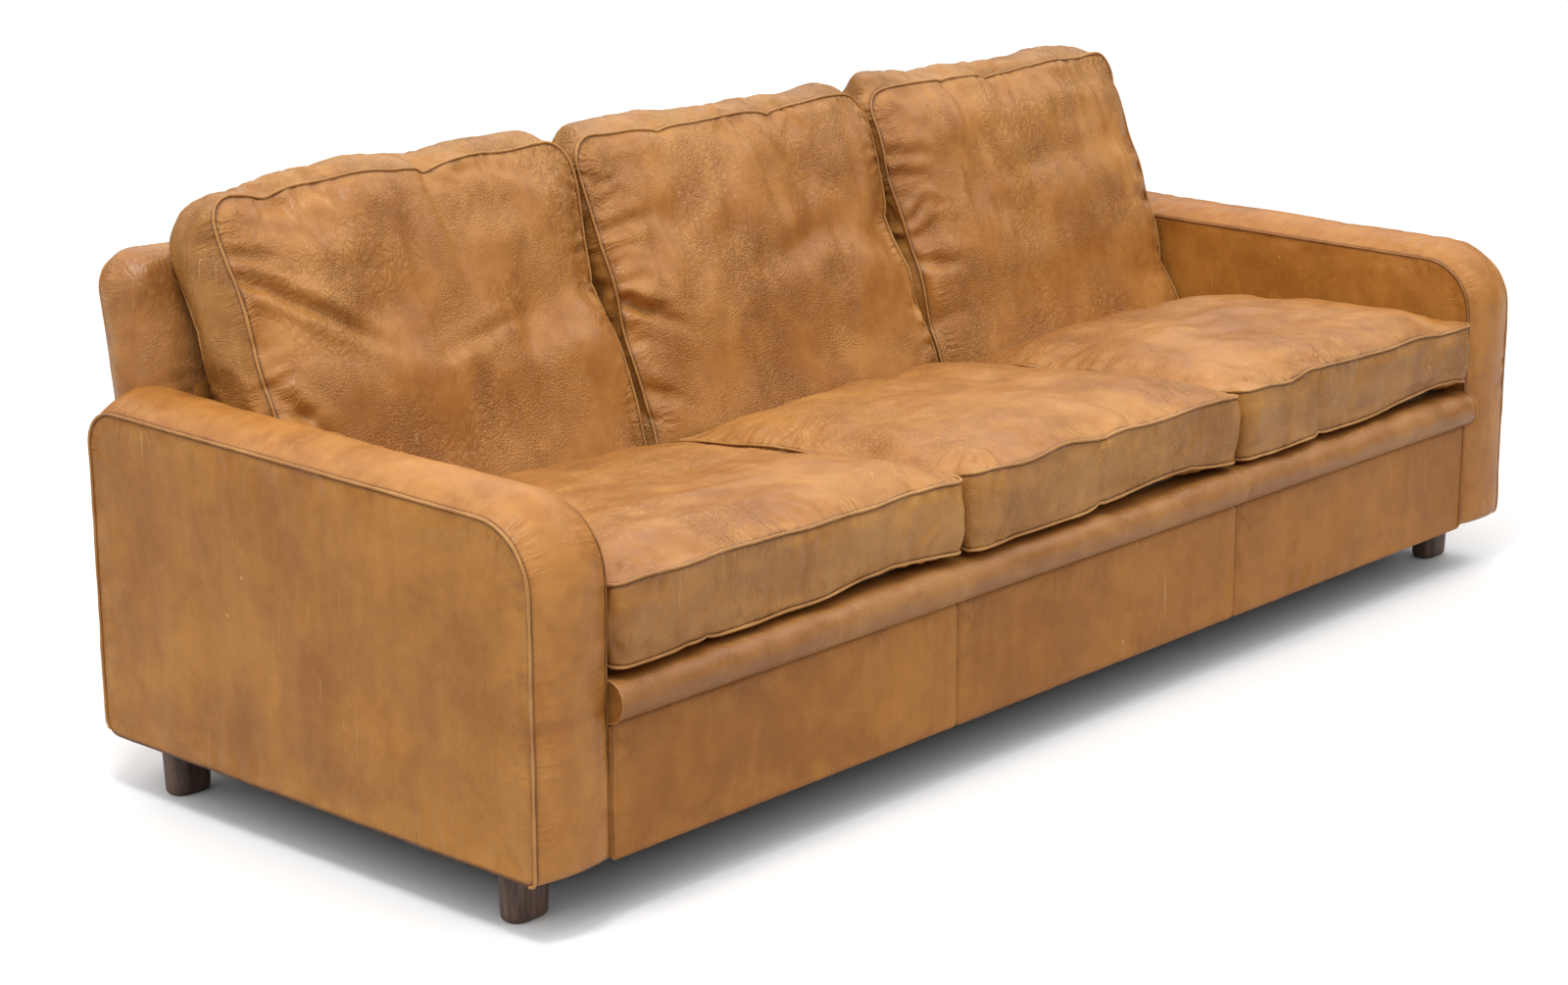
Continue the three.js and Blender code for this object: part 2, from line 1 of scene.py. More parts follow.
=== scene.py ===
"""A low three-seat leather sofa on short wooden feet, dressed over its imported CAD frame.

Every stuffed or sewn piece of the sofa is the same kind of form: two facing panels joined by a band. An arm
is two side panels and the crowned band between them, a cushion is two faces and its boxing, and the front
roll is two end caps and a very long band. BoxedForm makes that form, and each sub-assembly below gives it
its own sizes, crown and folds. Lengths are metres. The front faces -Y, and left and right are as seen from
the front.
"""
from __future__ import annotations

import logging
import math
from dataclasses import dataclass, field
from enum import Enum
from typing import Iterable, Sequence

import bpy
import numpy as np
from mathutils import Matrix, Vector

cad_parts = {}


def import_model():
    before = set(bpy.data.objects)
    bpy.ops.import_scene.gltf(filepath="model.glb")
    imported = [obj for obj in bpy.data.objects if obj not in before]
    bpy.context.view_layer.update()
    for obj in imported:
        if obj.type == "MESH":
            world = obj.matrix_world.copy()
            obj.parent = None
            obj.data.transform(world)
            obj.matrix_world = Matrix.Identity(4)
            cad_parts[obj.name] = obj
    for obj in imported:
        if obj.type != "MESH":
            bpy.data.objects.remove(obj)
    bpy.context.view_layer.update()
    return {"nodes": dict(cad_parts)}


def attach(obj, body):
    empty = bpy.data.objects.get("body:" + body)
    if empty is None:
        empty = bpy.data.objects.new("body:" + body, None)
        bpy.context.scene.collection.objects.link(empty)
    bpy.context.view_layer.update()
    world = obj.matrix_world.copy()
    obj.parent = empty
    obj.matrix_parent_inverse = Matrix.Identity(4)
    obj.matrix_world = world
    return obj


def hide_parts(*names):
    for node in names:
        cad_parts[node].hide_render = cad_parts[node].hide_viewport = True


LOG = logging.getLogger("sofa")
Array = np.ndarray
Colour = tuple[float, float, float]
MM = 0.001


class Side(Enum):
    """Left or right of the sofa, as seen from the front."""

    LEFT = -1
    RIGHT = 1

    @property
    def word(self) -> str:
        """The word used in names."""
        return self.name.lower()


class Edge(Enum):
    """The four edges of a panel, in the order in which its ring runs."""

    LOW = 0
    FAR = 1
    HIGH = 2
    NEAR = 3


class Place(Enum):
    """The three seat places."""

    LEFT = "left"
    MIDDLE = "middle"
    RIGHT = "right"


# ---------------------------------------------------------------- number helpers


def srgb(red: int, green: int, blue: int) -> Colour:
    """Turns a screen colour of 0 to 255 into the linear colour that shaders use.

    Args:
        red: red from 0 to 255.
        green: green from 0 to 255.
        blue: blue from 0 to 255.

    Returns:
        The three linear values.
    """
    screen = np.array([red, green, blue]) / 255.0
    linear = np.where(screen <= 0.04045, screen / 12.92, ((screen + 0.055) / 1.055) ** 2.4)
    return tuple(float(value) for value in linear)


def smooth_step(value: Array, start: float, end: float) -> Array:
    """Rises smoothly from 0 at the start to 1 at the end: 3t^2 - 2t^3 of the share t in between."""
    share = np.clip((value - start) / (end - start), 0.0, 1.0)
    return share * share * (3.0 - 2.0 * share)


def unit(vectors: Array) -> Array:
    """The same directions at length one."""
    length = np.linalg.norm(vectors, axis=-1, keepdims=True)
    return vectors / np.maximum(length, 1e-12)


def ripple(points: Array, wavelength: float, seed: int, waves: int = 20) -> Array:
    """Smooth noise of about unit size: a sum of plane waves in seeded directions, near one wavelength.

    Args:
        points: places, one row each.
        wavelength: the typical distance between two crests.
        seed: picks directions and phases.
        waves: how many waves are added.

    Returns:
        One value for each place.
    """
    dice = np.random.default_rng(seed)
    headings = unit(dice.normal(size=(points.shape[1], waves)).T).T
    numbers = 2.0 * np.pi / (wavelength * dice.uniform(0.7, 1.5, waves))
    phases = dice.uniform(0.0, 2.0 * np.pi, waves)
    return np.sin(points @ (headings * numbers) + phases).sum(axis=1) * math.sqrt(2.0 / waves)


def ring_ripple(angle: Array, around: float, wavelength: float, seed: int, waves: int = 14) -> Array:
    """Smooth noise along a closed ring: sines with whole wave counts near one wavelength.

    Args:
        angle: the place on the ring as an angle.
        around: the ring's length.
        wavelength: the typical distance between two crests.
        seed: picks wave counts and phases.
        waves: how many waves are added.

    Returns:
        One value of about unit size for each place.
    """
    dice = np.random.default_rng(seed)
    counts = np.round(around / (wavelength * dice.uniform(0.65, 1.6, waves)))
    phases = dice.uniform(0.0, 2.0 * np.pi, waves)
    return np.sin(angle[:, None] * counts + phases).sum(axis=1) * math.sqrt(2.0 / waves)


# ---------------------------------------------------------------- meshes and frames


def vertex_points(mesh: bpy.types.Mesh) -> Array:
    """All vertex places of a mesh, one row each."""
    flat = np.empty(len(mesh.vertices) * 3, dtype=np.float32)
    mesh.vertices.foreach_get("co", flat)
    return flat.reshape(-1, 3).astype(float)


def vertex_normals(mesh: bpy.types.Mesh) -> Array:
    """All vertex normals of a mesh, one row each."""
    flat = np.empty(len(mesh.vertices) * 3, dtype=np.float32)
    mesh.vertex_normals.foreach_get("vector", flat)
    return flat.reshape(-1, 3).astype(float)


def move_vertices(mesh: bpy.types.Mesh, points: Array) -> None:
    """Writes vertex places back into a mesh."""
    mesh.vertices.foreach_set("co", points.astype(np.float32).ravel())
    mesh.update()


def point_values(mesh: bpy.types.Mesh, name: str, width: int) -> Array:
    """Reads a vertex attribute of one or three numbers as rows."""
    flat = np.empty(len(mesh.vertices) * width, dtype=np.float32)
    mesh.attributes[name].data.foreach_get("value" if width == 1 else "vector", flat)
    return flat.reshape(-1, width).astype(float)


def give_values(mesh: bpy.types.Mesh, name: str, values: Array) -> None:
    """Writes a vertex attribute of one or three numbers."""
    kind, key = ("FLOAT", "value") if values.ndim == 1 else ("FLOAT_VECTOR", "vector")
    layer = mesh.attributes.new(name, kind, "POINT")
    layer.data.foreach_set(key, values.astype(np.float32).ravel())


def make_piece(name: str, points: Array, faces: Array, finish: bpy.types.Material) -> bpy.types.Object:
    """Makes a smooth-shaded object at the origin from places and quads.

    Args:
        name: the piece's name.
        points: vertex places in the sofa's frame.
        faces: four vertex numbers for each quad.
        finish: its material.

    Returns:
        The new object, linked to the scene.
    """
    mesh = bpy.data.meshes.new(name)
    mesh.from_pydata(points.tolist(), [], faces.tolist())
    mesh.polygons.foreach_set("use_smooth", np.ones(len(faces), dtype=bool))
    mesh.materials.append(finish)
    mesh.update()
    piece = bpy.data.objects.new(name, mesh)
    bpy.context.scene.collection.objects.link(piece)
    return piece


def finished_mesh(piece: bpy.types.Object) -> None:
    """Applies every modifier of a piece into its mesh."""
    graph = bpy.context.evaluated_depsgraph_get()
    mesh = bpy.data.meshes.new_from_object(piece.evaluated_get(graph), preserve_all_data_layers=True,
                                           depsgraph=graph)
    old = piece.data
    piece.modifiers.clear()
    piece.data = mesh
    mesh.name = piece.name
    bpy.data.meshes.remove(old)


def subdivide(piece: bpy.types.Object) -> None:
    """Subdivides a piece's mesh once and applies it. The first vertices keep their numbers."""
    modifier = piece.modifiers.new("smooth", "SUBSURF")
    modifier.levels = 1
    modifier.render_levels = 1
    finished_mesh(piece)


@dataclass(frozen=True)
class Axes:
    """A right-handed local frame: where it stands, and which way across, along and out point."""

    across: tuple[float, float, float]
    along: tuple[float, float, float]
    out: tuple[float, float, float]
    origin: tuple[float, float, float] = (0.0, 0.0, 0.0)

    def matrix(self) -> Array:
        """The three directions as rows."""
        return np.array([self.across, self.along, self.out])

    def world(self, local: Array) -> Array:
        """Places given in this frame, in the sofa's frame."""
        return local @ self.matrix() + np.array(self.origin)

    def local(self, world: Array) -> Array:
        """Places given in the sofa's frame, in this frame."""
        return (world - np.array(self.origin)) @ self.matrix().T

    def span(self, node: str) -> tuple[Array, Array]:
        """The lowest and highest corner of a CAD node, measured along this frame's directions."""
        points = self.local(vertex_points(bpy.data.objects[node].data))
        return points.min(axis=0), points.max(axis=0)


def lying(slope: float) -> Axes:
    """Axes of a panel that lies face up and falls towards the rear by a slope."""
    return Axes((1, 0, 0), (0, math.cos(slope), -math.sin(slope)), (0, math.sin(slope), math.cos(slope)))


def leaning(lean: float) -> Axes:
    """Axes of a panel that faces the front and leans back by an angle."""
    return Axes((1, 0, 0), (0, math.sin(lean), math.cos(lean)), (0, -math.cos(lean), math.sin(lean)))


SIDEWAYS = Axes((0, 1, 0), (0, 0, 1), (1, 0, 0))
UPRIGHT = Axes((1, 0, 0), (0, 1, 0), (0, 0, 1))


@dataclass(frozen=True)
class Outline:
    """A four-cornered outline, anticlockwise, with a radius at each corner."""

    corners: Sequence[tuple[float, float]]
    radii: Sequence[float]
    turn_steps: int = 24

    def ring(self, columns: int, rows: int) -> Array:
        """Evenly spaced places round the outline.

        Each edge runs from the middle of one corner's arc to the middle of the next one's, as half an arc, a
        straight stretch and half an arc, and is cut into equal lengths.

        Args:
            columns: lengths on the low and high edges.
            rows: lengths on the other two.

        Returns:
            2 * (columns + rows) places, starting in the first corner.
        """
        arcs = [self._arc(number) for number in range(4)]
        middle = self.turn_steps
        parts = []
        for number, count in enumerate((columns, rows, columns, rows)):
            path = np.concatenate([arcs[number][middle:], arcs[(number + 1) % 4][:middle + 1]])
            steps = np.linalg.norm(np.diff(path, axis=0), axis=1)
            reached = np.concatenate([[0.0], np.cumsum(steps)])
            wanted = np.linspace(0.0, reached[-1], count + 1)[:-1]
            parts.append(np.stack([np.interp(wanted, reached, path[:, axis]) for axis in (0, 1)], axis=1))
        return np.concatenate(parts)

    def _arc(self, number: int) -> Array:
        """The arc at one corner, whose centre lies on its bisector, radius / sin(half the corner) away."""
        corner = np.array(self.corners[number], dtype=float)
        before = unit(np.array(self.corners[number - 1], dtype=float) - corner)
        after = unit(np.array(self.corners[(number + 1) % 4], dtype=float) - corner)
        half = math.acos(float(np.clip(before @ after, -1.0, 1.0))) / 2.0
        radius = self.radii[number]
        centre = corner + unit(before + after) * radius / math.sin(half)
        first = corner + before * radius / math.tan(half) - centre
        last = corner + after * radius / math.tan(half) - centre
        start = math.atan2(first[1], first[0])
        turn = (math.atan2(last[1], last[0]) - start + math.pi) % (2.0 * math.pi) - math.pi
        angle = start + turn * np.linspace(0.0, 1.0, 2 * self.turn_steps + 1)
        return centre + radius * np.stack([np.cos(angle), np.sin(angle)], axis=1)


def rectangle(low_a: float, high_a: float, low_b: float, high_b: float) -> list[tuple[float, float]]:
    """The corners of a rectangle, anticlockwise from the lowest."""
    return [(low_a, low_b), (high_a, low_b), (high_a, high_b), (low_a, high_b)]


def fill_ring(ring: Array, columns: int, rows: int) -> Array:
    """Fills a closed ring with a grid.

    Each inner place is the two straight blends between facing edges added together, less the blend of the
    four corners (a Coons patch).

    Args:
        ring: places round the edge, as Outline.ring gives them.
        columns: lengths on the low and high edges.
        rows: lengths on the other two.

    Returns:
        Places as (rows + 1, columns + 1, dimensions).
    """
    closed = np.concatenate([ring, ring[:1]])
    low = closed[:columns + 1]
    far = closed[columns:columns + rows + 1]
    high = closed[columns + rows:2 * columns + rows + 1][::-1]
    near = closed[2 * columns + rows:][::-1]
    u = np.linspace(0.0, 1.0, columns + 1)[None, :, None]
    v = np.linspace(0.0, 1.0, rows + 1)[:, None, None]
    between_rows = (1 - v) * low[None] + v * high[None]
    between_columns = (1 - u) * near[:, None] + u * far[:, None]
    corners = ((1 - u) * (1 - v) * low[0] + u * (1 - v) * low[-1] + (1 - u) * v * high[0] + u * v * high[-1])
    return between_rows + between_columns - corners


# How a boxed form's seams and bulge vary, and the lengths of what its relief shows.
LOW_WAVE_SHARE = 0.4
RISE_LENGTH = 0.16
OUTWARD_SHARE = 0.6
OUTWARD_LENGTH = 0.2
BULGE_START = 0.35
PUCKER_REACH = 0.018
PUCKER_LENGTH = 0.03
PUCKER_PATCH = 0.35
LUMP_LENGTH = 0.17
SMALL_LUMP_LENGTH = 0.07
DRAG_LENGTH = 0.03
DRAG_WAVES = 40
DRAG_PATCH = 0.22


@dataclass(frozen=True)
class Kink:
    """Where a seam leaves its line: which edge, the share along it, how far it moves and how widely."""

    edge: Edge
    share: float
    rise: float
    width: float = 0.03
    outward: float = 0.0


@dataclass(frozen=True)
class Fold:
    """A crease in a face, from one place to another, both as shares of the half width and half height."""

    start: tuple[float, float]
    end: tuple[float, float]
    depth: float = 0.004
    width: float = 0.012


@dataclass
class FormGrid:
    """The bare grid of a boxed form: its places, quads, and which vertices are where."""

    points: Array
    faces: Array
    low_ring: Array
    high_ring: Array
    facing: Array
    seam: Array
    plan: Array


@dataclass
class BoxedForm:
    """Two facing panels joined by a band.

    In the form's own axes the panels lie in the across-along plane, the low one at the bottom of the
    thickness and the high one at its top.
    """

    axes: Axes
    low: Outline
    high: Outline
    bottom: float
    thickness: float
    cell: float = 0.010
    band_rows: int = 10
    low_crown: float = 0.0
    high_crown: float = 0.0
    crown_reach: float = 0.055
    bulge: tuple[float, float, float, float] = (0.0, 0.0, 0.0, 0.0)
    bulge_power: float = 2.0
    bulge_focus: float = 0.0
    bulge_growth: float = 0.0
    low_kinks: Sequence[Kink] = ()
    high_kinks: Sequence[Kink] = ()
    wave: float = 0.0
    seed: int = 1
    low_seam_only: bool = False

    def counts(self) -> tuple[int, int]:
        """How many cells lie along the across and along directions."""
        corners = np.array(self.high.corners)
        size = corners.max(axis=0) - corners.min(axis=0)
        columns, rows = np.maximum(np.round(size / self.cell), 4).astype(int)
        return int(columns), int(rows)

    def grid(self) -> FormGrid:
        """Works the whole form out as arrays.

        The band runs from the low ring to the high ring in straight lines, pushed outwards by
        bulge * (1 - |2t - 1| ** power) at the share t of the thickness. The bulge has its own size on the
        near, far, upper and lower edges. A focus above 0 keeps it off the corners, and with a growth it
        swells from about a third of its size at the upper edge's near end. A seam's own kinks and waves fade
        with the cube of the way across from the other seam. A panel rises by its crown times
        1 - exp(-distance / reach) for its distance from each pair of edges.

        Returns:
            The grid, in the form's own axes.
        """
        columns, rows = self.counts()
        low_plan = self.low.ring(columns, rows)
        high_plan = self.high.ring(columns, rows)
        low_wave = LOW_WAVE_SHARE * self.wave
        low_rise, low_out = self._seam_shift(high_plan, self.low_kinks, low_wave, self.seed)
        high_rise, high_out = self._seam_shift(high_plan, self.high_kinks, self.wave, self.seed + 7)
        normals = ring_normals(high_plan)
        share = np.linspace(0.0, 1.0, self.band_rows + 1)[:, None]
        push = (1.0 - np.abs(2.0 * share - 1.0) ** self.bulge_power)[..., None]
        near, far, up, down = self.bulge
        sideways = np.where(normals[:, 0] > 0, far, near)
        gain = np.stack([sideways, np.where(normals[:, 1] > 0, up, down)], axis=1)
        gain = gain * np.abs(normals) ** self.bulge_focus
        if self.bulge_growth > 0.0:
            start = high_plan[:, 0].min()
            grown = smooth_step(high_plan[:, 0], start, start + self.bulge_growth)
            gain[:, 1] *= BULGE_START + (1.0 - BULGE_START) * grown
        near_low, near_high = (1 - share) ** 3, share ** 3
        ways = (1 - share)[..., None] * low_plan + share[..., None] * high_plan
        ways = ways + (near_low * low_out + near_high * high_out)[..., None] * normals
        band_plan = ways + push * normals * gain
        band_height = self.bottom + share * self.thickness + near_low * low_rise + near_high * high_rise
        band = np.concatenate([band_plan, band_height[..., None]], axis=2)
        low_fill = self._panel(band[0], columns, rows, -self.low_crown)
        high_fill = self._panel(band[-1], columns, rows, self.high_crown)
        return self._assemble(band, low_fill, high_fill, columns, rows)

    def _seam_shift(self, ring: Array, kinks: Sequence[Kink], wave: float, seed: int) -> tuple[Array, Array]:
        """How far a seam rises and moves outwards at each place: a seeded wave and one bell curve a kink."""
        columns, rows = self.counts()
        starts = np.array([0, columns, columns + rows, 2 * columns + rows, 2 * (columns + rows)])
        around = float(np.linalg.norm(np.roll(ring, -1, axis=0) - ring, axis=1).sum())
        step = around / len(ring)
        number = np.arange(len(ring))
        angle = 2.0 * np.pi * number / len(ring)
        rise = wave * ring_ripple(angle, around, RISE_LENGTH, seed)
        outward = OUTWARD_SHARE * wave * ring_ripple(angle, around, OUTWARD_LENGTH, seed + 1)
        for kink in kinks:
            first, last = starts[kink.edge.value], starts[kink.edge.value + 1]
            centre = first + kink.share * (last - first)
            away = (number - centre + len(ring) / 2) % len(ring) - len(ring) / 2
            bell = np.exp(-((away * step / kink.width) ** 2))
            rise = rise + kink.rise * bell
            outward = outward + kink.outward * bell
        return rise, outward

    def _panel(self, ring: Array, columns: int, rows: int, crown: float) -> Array:
        """A panel filled from its ring and crowned."""
        fill = fill_ring(ring, columns, rows)
        low = fill[..., :2].min(axis=(0, 1))
        high = fill[..., :2].max(axis=(0, 1))
        inside = np.minimum(fill[..., :2] - low, high - fill[..., :2])
        lift = np.prod(1.0 - np.exp(-np.maximum(inside, 0.0) / self.crown_reach), axis=-1)
        edge = np.zeros(lift.shape, dtype=bool)
        edge[[0, -1], :] = True
        edge[:, [0, -1]] = True
        fill[..., 2] += np.where(edge, 0.0, crown * lift)
        return fill

    def _assemble(self, band: Array, low_fill: Array, high_fill: Array, columns: int, rows: int) -> FormGrid:
        """Joins the band and both panels into one closed mesh that shares the ring vertices."""
        levels, count = band.shape[:2]
        low_ring = np.arange(count)
        high_ring = low_ring + (levels - 1) * count
        inner = (rows - 1) * (columns - 1)
        low_index = ring_index(low_ring, levels * count, columns, rows)
        high_index = ring_index(high_ring, levels * count + inner, columns, rows)
        points = np.concatenate([
            band.reshape(-1, 3),
            low_fill[1:-1, 1:-1].reshape(-1, 3),
            high_fill[1:-1, 1:-1].reshape(-1, 3),
        ])
        around = np.concatenate([np.arange(levels * count).reshape(levels, count),
                                 (np.arange(levels) * count)[:, None]], axis=1)
        faces = np.concatenate([grid_quads(around), grid_quads(high_index), grid_quads(low_index)[:, ::-1]])
        facing = np.concatenate([np.zeros(levels * count), -np.ones(inner), np.ones(inner)])
        return FormGrid(points, faces, low_ring, high_ring, facing, self._seam_coordinates(points, band),
                        self._plan_shares(points))

    def _seam_coordinates(self, points: Array, band: Array) -> Array:
        """Where each vertex stands against the nearest seam.

        The nearest seam place is given as a point on a circle as long as the seam, so that it closes on
        itself. The third number is the distance from the seam.
        """
        count = band.shape[1]
        seams = band[0] if self.low_seam_only else np.concatenate([band[0], band[-1]])
        seams = seams.astype(np.float32)
        gaps = np.linalg.norm(points.astype(np.float32)[:, None] - seams[None], axis=2)
        nearest = gaps.argmin(axis=1)
        around = float(np.linalg.norm(np.roll(band[0], -1, axis=0) - band[0], axis=1).sum())
        angle = 2.0 * np.pi * (nearest % count) / count
        radius = around / (2.0 * np.pi)
        return np.stack([radius * np.cos(angle), radius * np.sin(angle), gaps.min(axis=1)], axis=1)

    def _plan_shares(self, points: Array) -> Array:
        """Places as shares of the half width, half height and thickness, measured from the middle."""
        corners = np.array(self.high.corners)
        low, high = corners.min(axis=0), corners.max(axis=0)
        plan = (points[:, :2] - (low + high) / 2) / ((high - low) / 2)
        depth = (points[:, 2] - self.bottom) / self.thickness
        return np.column_stack([plan, depth])


def ring_normals(ring: Array) -> Array:
    """The outward direction at each place of an anticlockwise ring."""
    tangent = unit(np.roll(ring, -1, axis=0) - np.roll(ring, 1, axis=0))
    return np.stack([tangent[:, 1], -tangent[:, 0]], axis=1)


def ring_index(ring: Array, first: int, columns: int, rows: int) -> Array:
    """Vertex numbers of a panel's grid: the ring on its edge, and new ones inside."""
    index = np.empty((rows + 1, columns + 1), dtype=int)
    closed = np.concatenate([ring, ring[:1]])
    index[0] = closed[:columns + 1]
    index[:, -1] = closed[columns:columns + rows + 1]
    index[-1] = closed[columns + rows:2 * columns + rows + 1][::-1]
    index[:, 0] = closed[2 * columns + rows:][::-1]
    index[1:-1, 1:-1] = first + np.arange((rows - 1) * (columns - 1)).reshape(rows - 1, columns - 1)
    return index


def grid_quads(index: Array) -> Array:
    """The quads between neighbouring rows and columns of a grid of vertex numbers."""
    return np.stack([index[:-1, :-1], index[:-1, 1:], index[1:, 1:], index[1:, :-1]], axis=-1).reshape(-1, 4)


@dataclass
class SewnPiece:
    """A boxed form as an object, with its seams kept findable."""

    name: str
    form: BoxedForm
    grid: FormGrid
    object: bpy.types.Object

    @classmethod
    def make(cls, name: str, form: BoxedForm, finish: bpy.types.Material) -> SewnPiece:
        """Builds a form's coarse mesh with its seam, plan and facing attributes.

        Args:
            name: the piece's name.
            form: its form.
            finish: its material.

        Returns:
            The piece.
        """
        grid = form.grid()
        piece = make_piece(name, form.axes.world(grid.points), grid.faces, finish)
        give_values(piece.data, "seam", grid.seam)
        give_values(piece.data, "plan", grid.plan)
        give_values(piece.data, "facing", grid.facing)
        return cls(name, form, grid, piece)

    def crease_seams(self, sharpness: float) -> None:
        """Keeps both seams crisp through the subdivision."""
        mesh = self.object.data
        ends = np.empty(len(mesh.edges) * 2, dtype=np.int32)
        mesh.edges.foreach_get("vertices", ends)
        ends = ends.reshape(-1, 2)
        on_low = np.isin(ends, self.grid.low_ring).all(axis=1)
        on_high = np.isin(ends, self.grid.high_ring).all(axis=1)
        layer = mesh.attributes.new("crease_edge", "FLOAT", "EDGE")
        layer.data.foreach_set("value", (sharpness * (on_low | on_high)).astype(np.float32))

    def displace(self, amount: Array) -> None:
        """Moves each vertex along its normal."""
        mesh = self.object.data
        move_vertices(mesh, vertex_points(mesh) + vertex_normals(mesh) * amount[:, None])

    def relief(self, folds: Sequence[Fold], pucker: float, soft: float, seed: int,
               front_only: bool = False, drag: tuple[float, float, float] | None = None) -> None:
        """Adds what a filled cover shows: seam puckers, soft lumps, drag lines and single folds.

        A fold is a bell-shaped valley along its line, with a low lip on each side, fading towards its ends.
        Puckers run away from the seam: noise along the seam, times the seam distance's own short hump.

        Args:
            folds: folds of the high face.
            pucker: height of the seam puckers.
            soft: height of the soft lumps.
            seed: seeds the noise.
            front_only: True where only the high face and the band may move.
            drag: how much the leather's drag lines are drawn out along x, y and z, where it has any.
        """
        mesh = self.object.data
        plan = point_values(mesh, "plan", 3)
        seam = point_values(mesh, "seam", 3)
        facing = point_values(mesh, "facing", 1)[:, 0]
        distance = seam[:, 2]
        angle = np.arctan2(seam[:, 1], seam[:, 0])
        around = 2.0 * np.pi * float(np.linalg.norm(seam[:, :2], axis=1).max())
        points = vertex_points(mesh)
        free = smooth_step(distance, 0.0, 0.02)
        patch = 0.5 + 0.5 * np.tanh(1.6 * ring_ripple(angle, around, PUCKER_PATCH, seed + 2))
        hump = (distance / PUCKER_REACH) * np.exp(1.0 - distance / PUCKER_REACH)
        strayed = angle + 0.02 * ripple(points, 0.06, seed + 3)
        gathers = ring_ripple(strayed, around, PUCKER_LENGTH, seed + 4)
        amount = pucker * patch * hump * gathers
        amount = amount + soft * free * ripple(points, LUMP_LENGTH, seed + 5)
        amount = amount + 0.35 * soft * free * ripple(points, SMALL_LUMP_LENGTH, seed + 6)
        if drag is not None:
            lines = ripple(points / np.array(drag), DRAG_LENGTH, seed + 7, DRAG_WAVES)
            patches = 0.5 + 0.5 * np.tanh(2.0 * ripple(points, DRAG_PATCH, seed + 8))
            amount = amount + 0.3 * soft * free * patches * lines
        corners = np.array(self.form.high.corners)
        half = (corners.max(axis=0) - corners.min(axis=0)) / 2
        for fold in folds:
            amount = amount - fold_depth(plan[:, :2] * half, fold, half) * smooth_step(facing, 0.0, 0.6)
        if front_only:
            amount = amount * smooth_step(facing, -1.0, 0.0)
        self.displace(amount)


def fold_depth(plan: Array, fold: Fold, half: Array) -> Array:
    """How deep a fold presses each place: a bell across its line less two low lips, faded at both ends."""
    start = np.array(fold.start) * half
    way = np.array(fold.end) * half - start
    length = float(np.linalg.norm(way))
    heading = way / length
    along = (plan - start) @ heading
    across = np.abs((plan - start) @ np.array([-heading[1], heading[0]]))
    fade = smooth_step(along, -0.1 * length, 0.25 * length)
    fade = fade * (1.0 - smooth_step(along, 0.45 * length, length))
    bell = np.exp(-((across / fold.width) ** 2))
    lip = np.exp(-(((across - 2.0 * fold.width) / (1.2 * fold.width)) ** 2))
    return fold.depth * fade * (bell - 0.45 * lip)


@dataclass(frozen=True)
class Welt:
    """A slim leather cord sewn into a seam."""

    radius: float
    proud: float
    sides: int = 8

    def sweep(self, name: str, path: Array, out: Array, finish: bpy.types.Material,
              closed: bool = True) -> bpy.types.Object:
        """Carries a round profile along a seam.

        Each profile stands square to the path, between the seam's outward direction and the direction square
        to it. Its radius varies by a few percent, as hand-sewn piping does.

        Args:
            name: the piece's name.
            path: places along the seam.
            out: the outward direction at each place.
            finish: its material.
            closed: True where the path closes on itself.

        Returns:
            The new object.
        """
        path = path + unit(out) * self.radius * self.proud
        path, out = finer(finer(path, closed), closed), finer(finer(out, closed), closed)
        if closed:
            tangent = unit(np.roll(path, -1, axis=0) - np.roll(path, 1, axis=0))
        else:
            tangent = unit(np.gradient(path, axis=0))
        beside = unit(np.cross(tangent, out))
        above = np.cross(beside, tangent)
        turn = np.linspace(0.0, 2.0 * np.pi, self.sides, endpoint=False)
        reach = self.radius * (1.0 + 0.07 * ripple(path, 0.04, 5))
        if not closed:
            reach[[0, -1]] *= 0.15
        profile = np.cos(turn)[None, :, None] * above[:, None] + np.sin(turn)[None, :, None] * beside[:, None]
        points = path[:, None] + reach[:, None, None] * profile
        index = np.arange(points.shape[0] * self.sides).reshape(-1, self.sides)
        index = np.concatenate([index, index[:, :1]], axis=1)
        if closed:
            index = np.concatenate([index, index[:1]])
        faces = grid_quads(index)
        if not closed:
            faces = np.concatenate([faces, end_quads(index[0, :-1])[:, ::-1], end_quads(index[-1, :-1])])
        return make_piece(name, points.reshape(-1, 3), faces, finish)


def end_quads(ring: Array) -> Array:
    """Closes a ring of eight vertices with three quads."""
    a = ring
    return np.array([[a[0], a[1], a[2], a[7]], [a[2], a[3], a[6], a[7]], [a[3], a[4], a[5], a[6]]])


def finer(path: Array, closed: bool = True) -> Array:
    """Doubles a path's places: each new one is (9 (b + c) - (a + d)) / 16 of its four neighbours."""
    if not closed:
        path = np.concatenate([2 * path[:1] - path[1:2], path, 2 * path[-1:] - path[-2:-1]])
        between = (9.0 * (path[1:-2] + path[2:-1]) - path[:-3] - path[3:]) / 16.0
        doubled = np.empty((2 * len(between) + 1, path.shape[1]))
        doubled[0::2] = path[1:-1]
        doubled[1::2] = between
        return doubled
    after = np.roll(path, -1, axis=0)
    between = (9.0 * (path + after) - np.roll(path, 1, axis=0) - np.roll(path, -2, axis=0)) / 16.0
    return np.stack([path, between], axis=1).reshape(-1, path.shape[1])


# ---------------------------------------------------------------- finishes


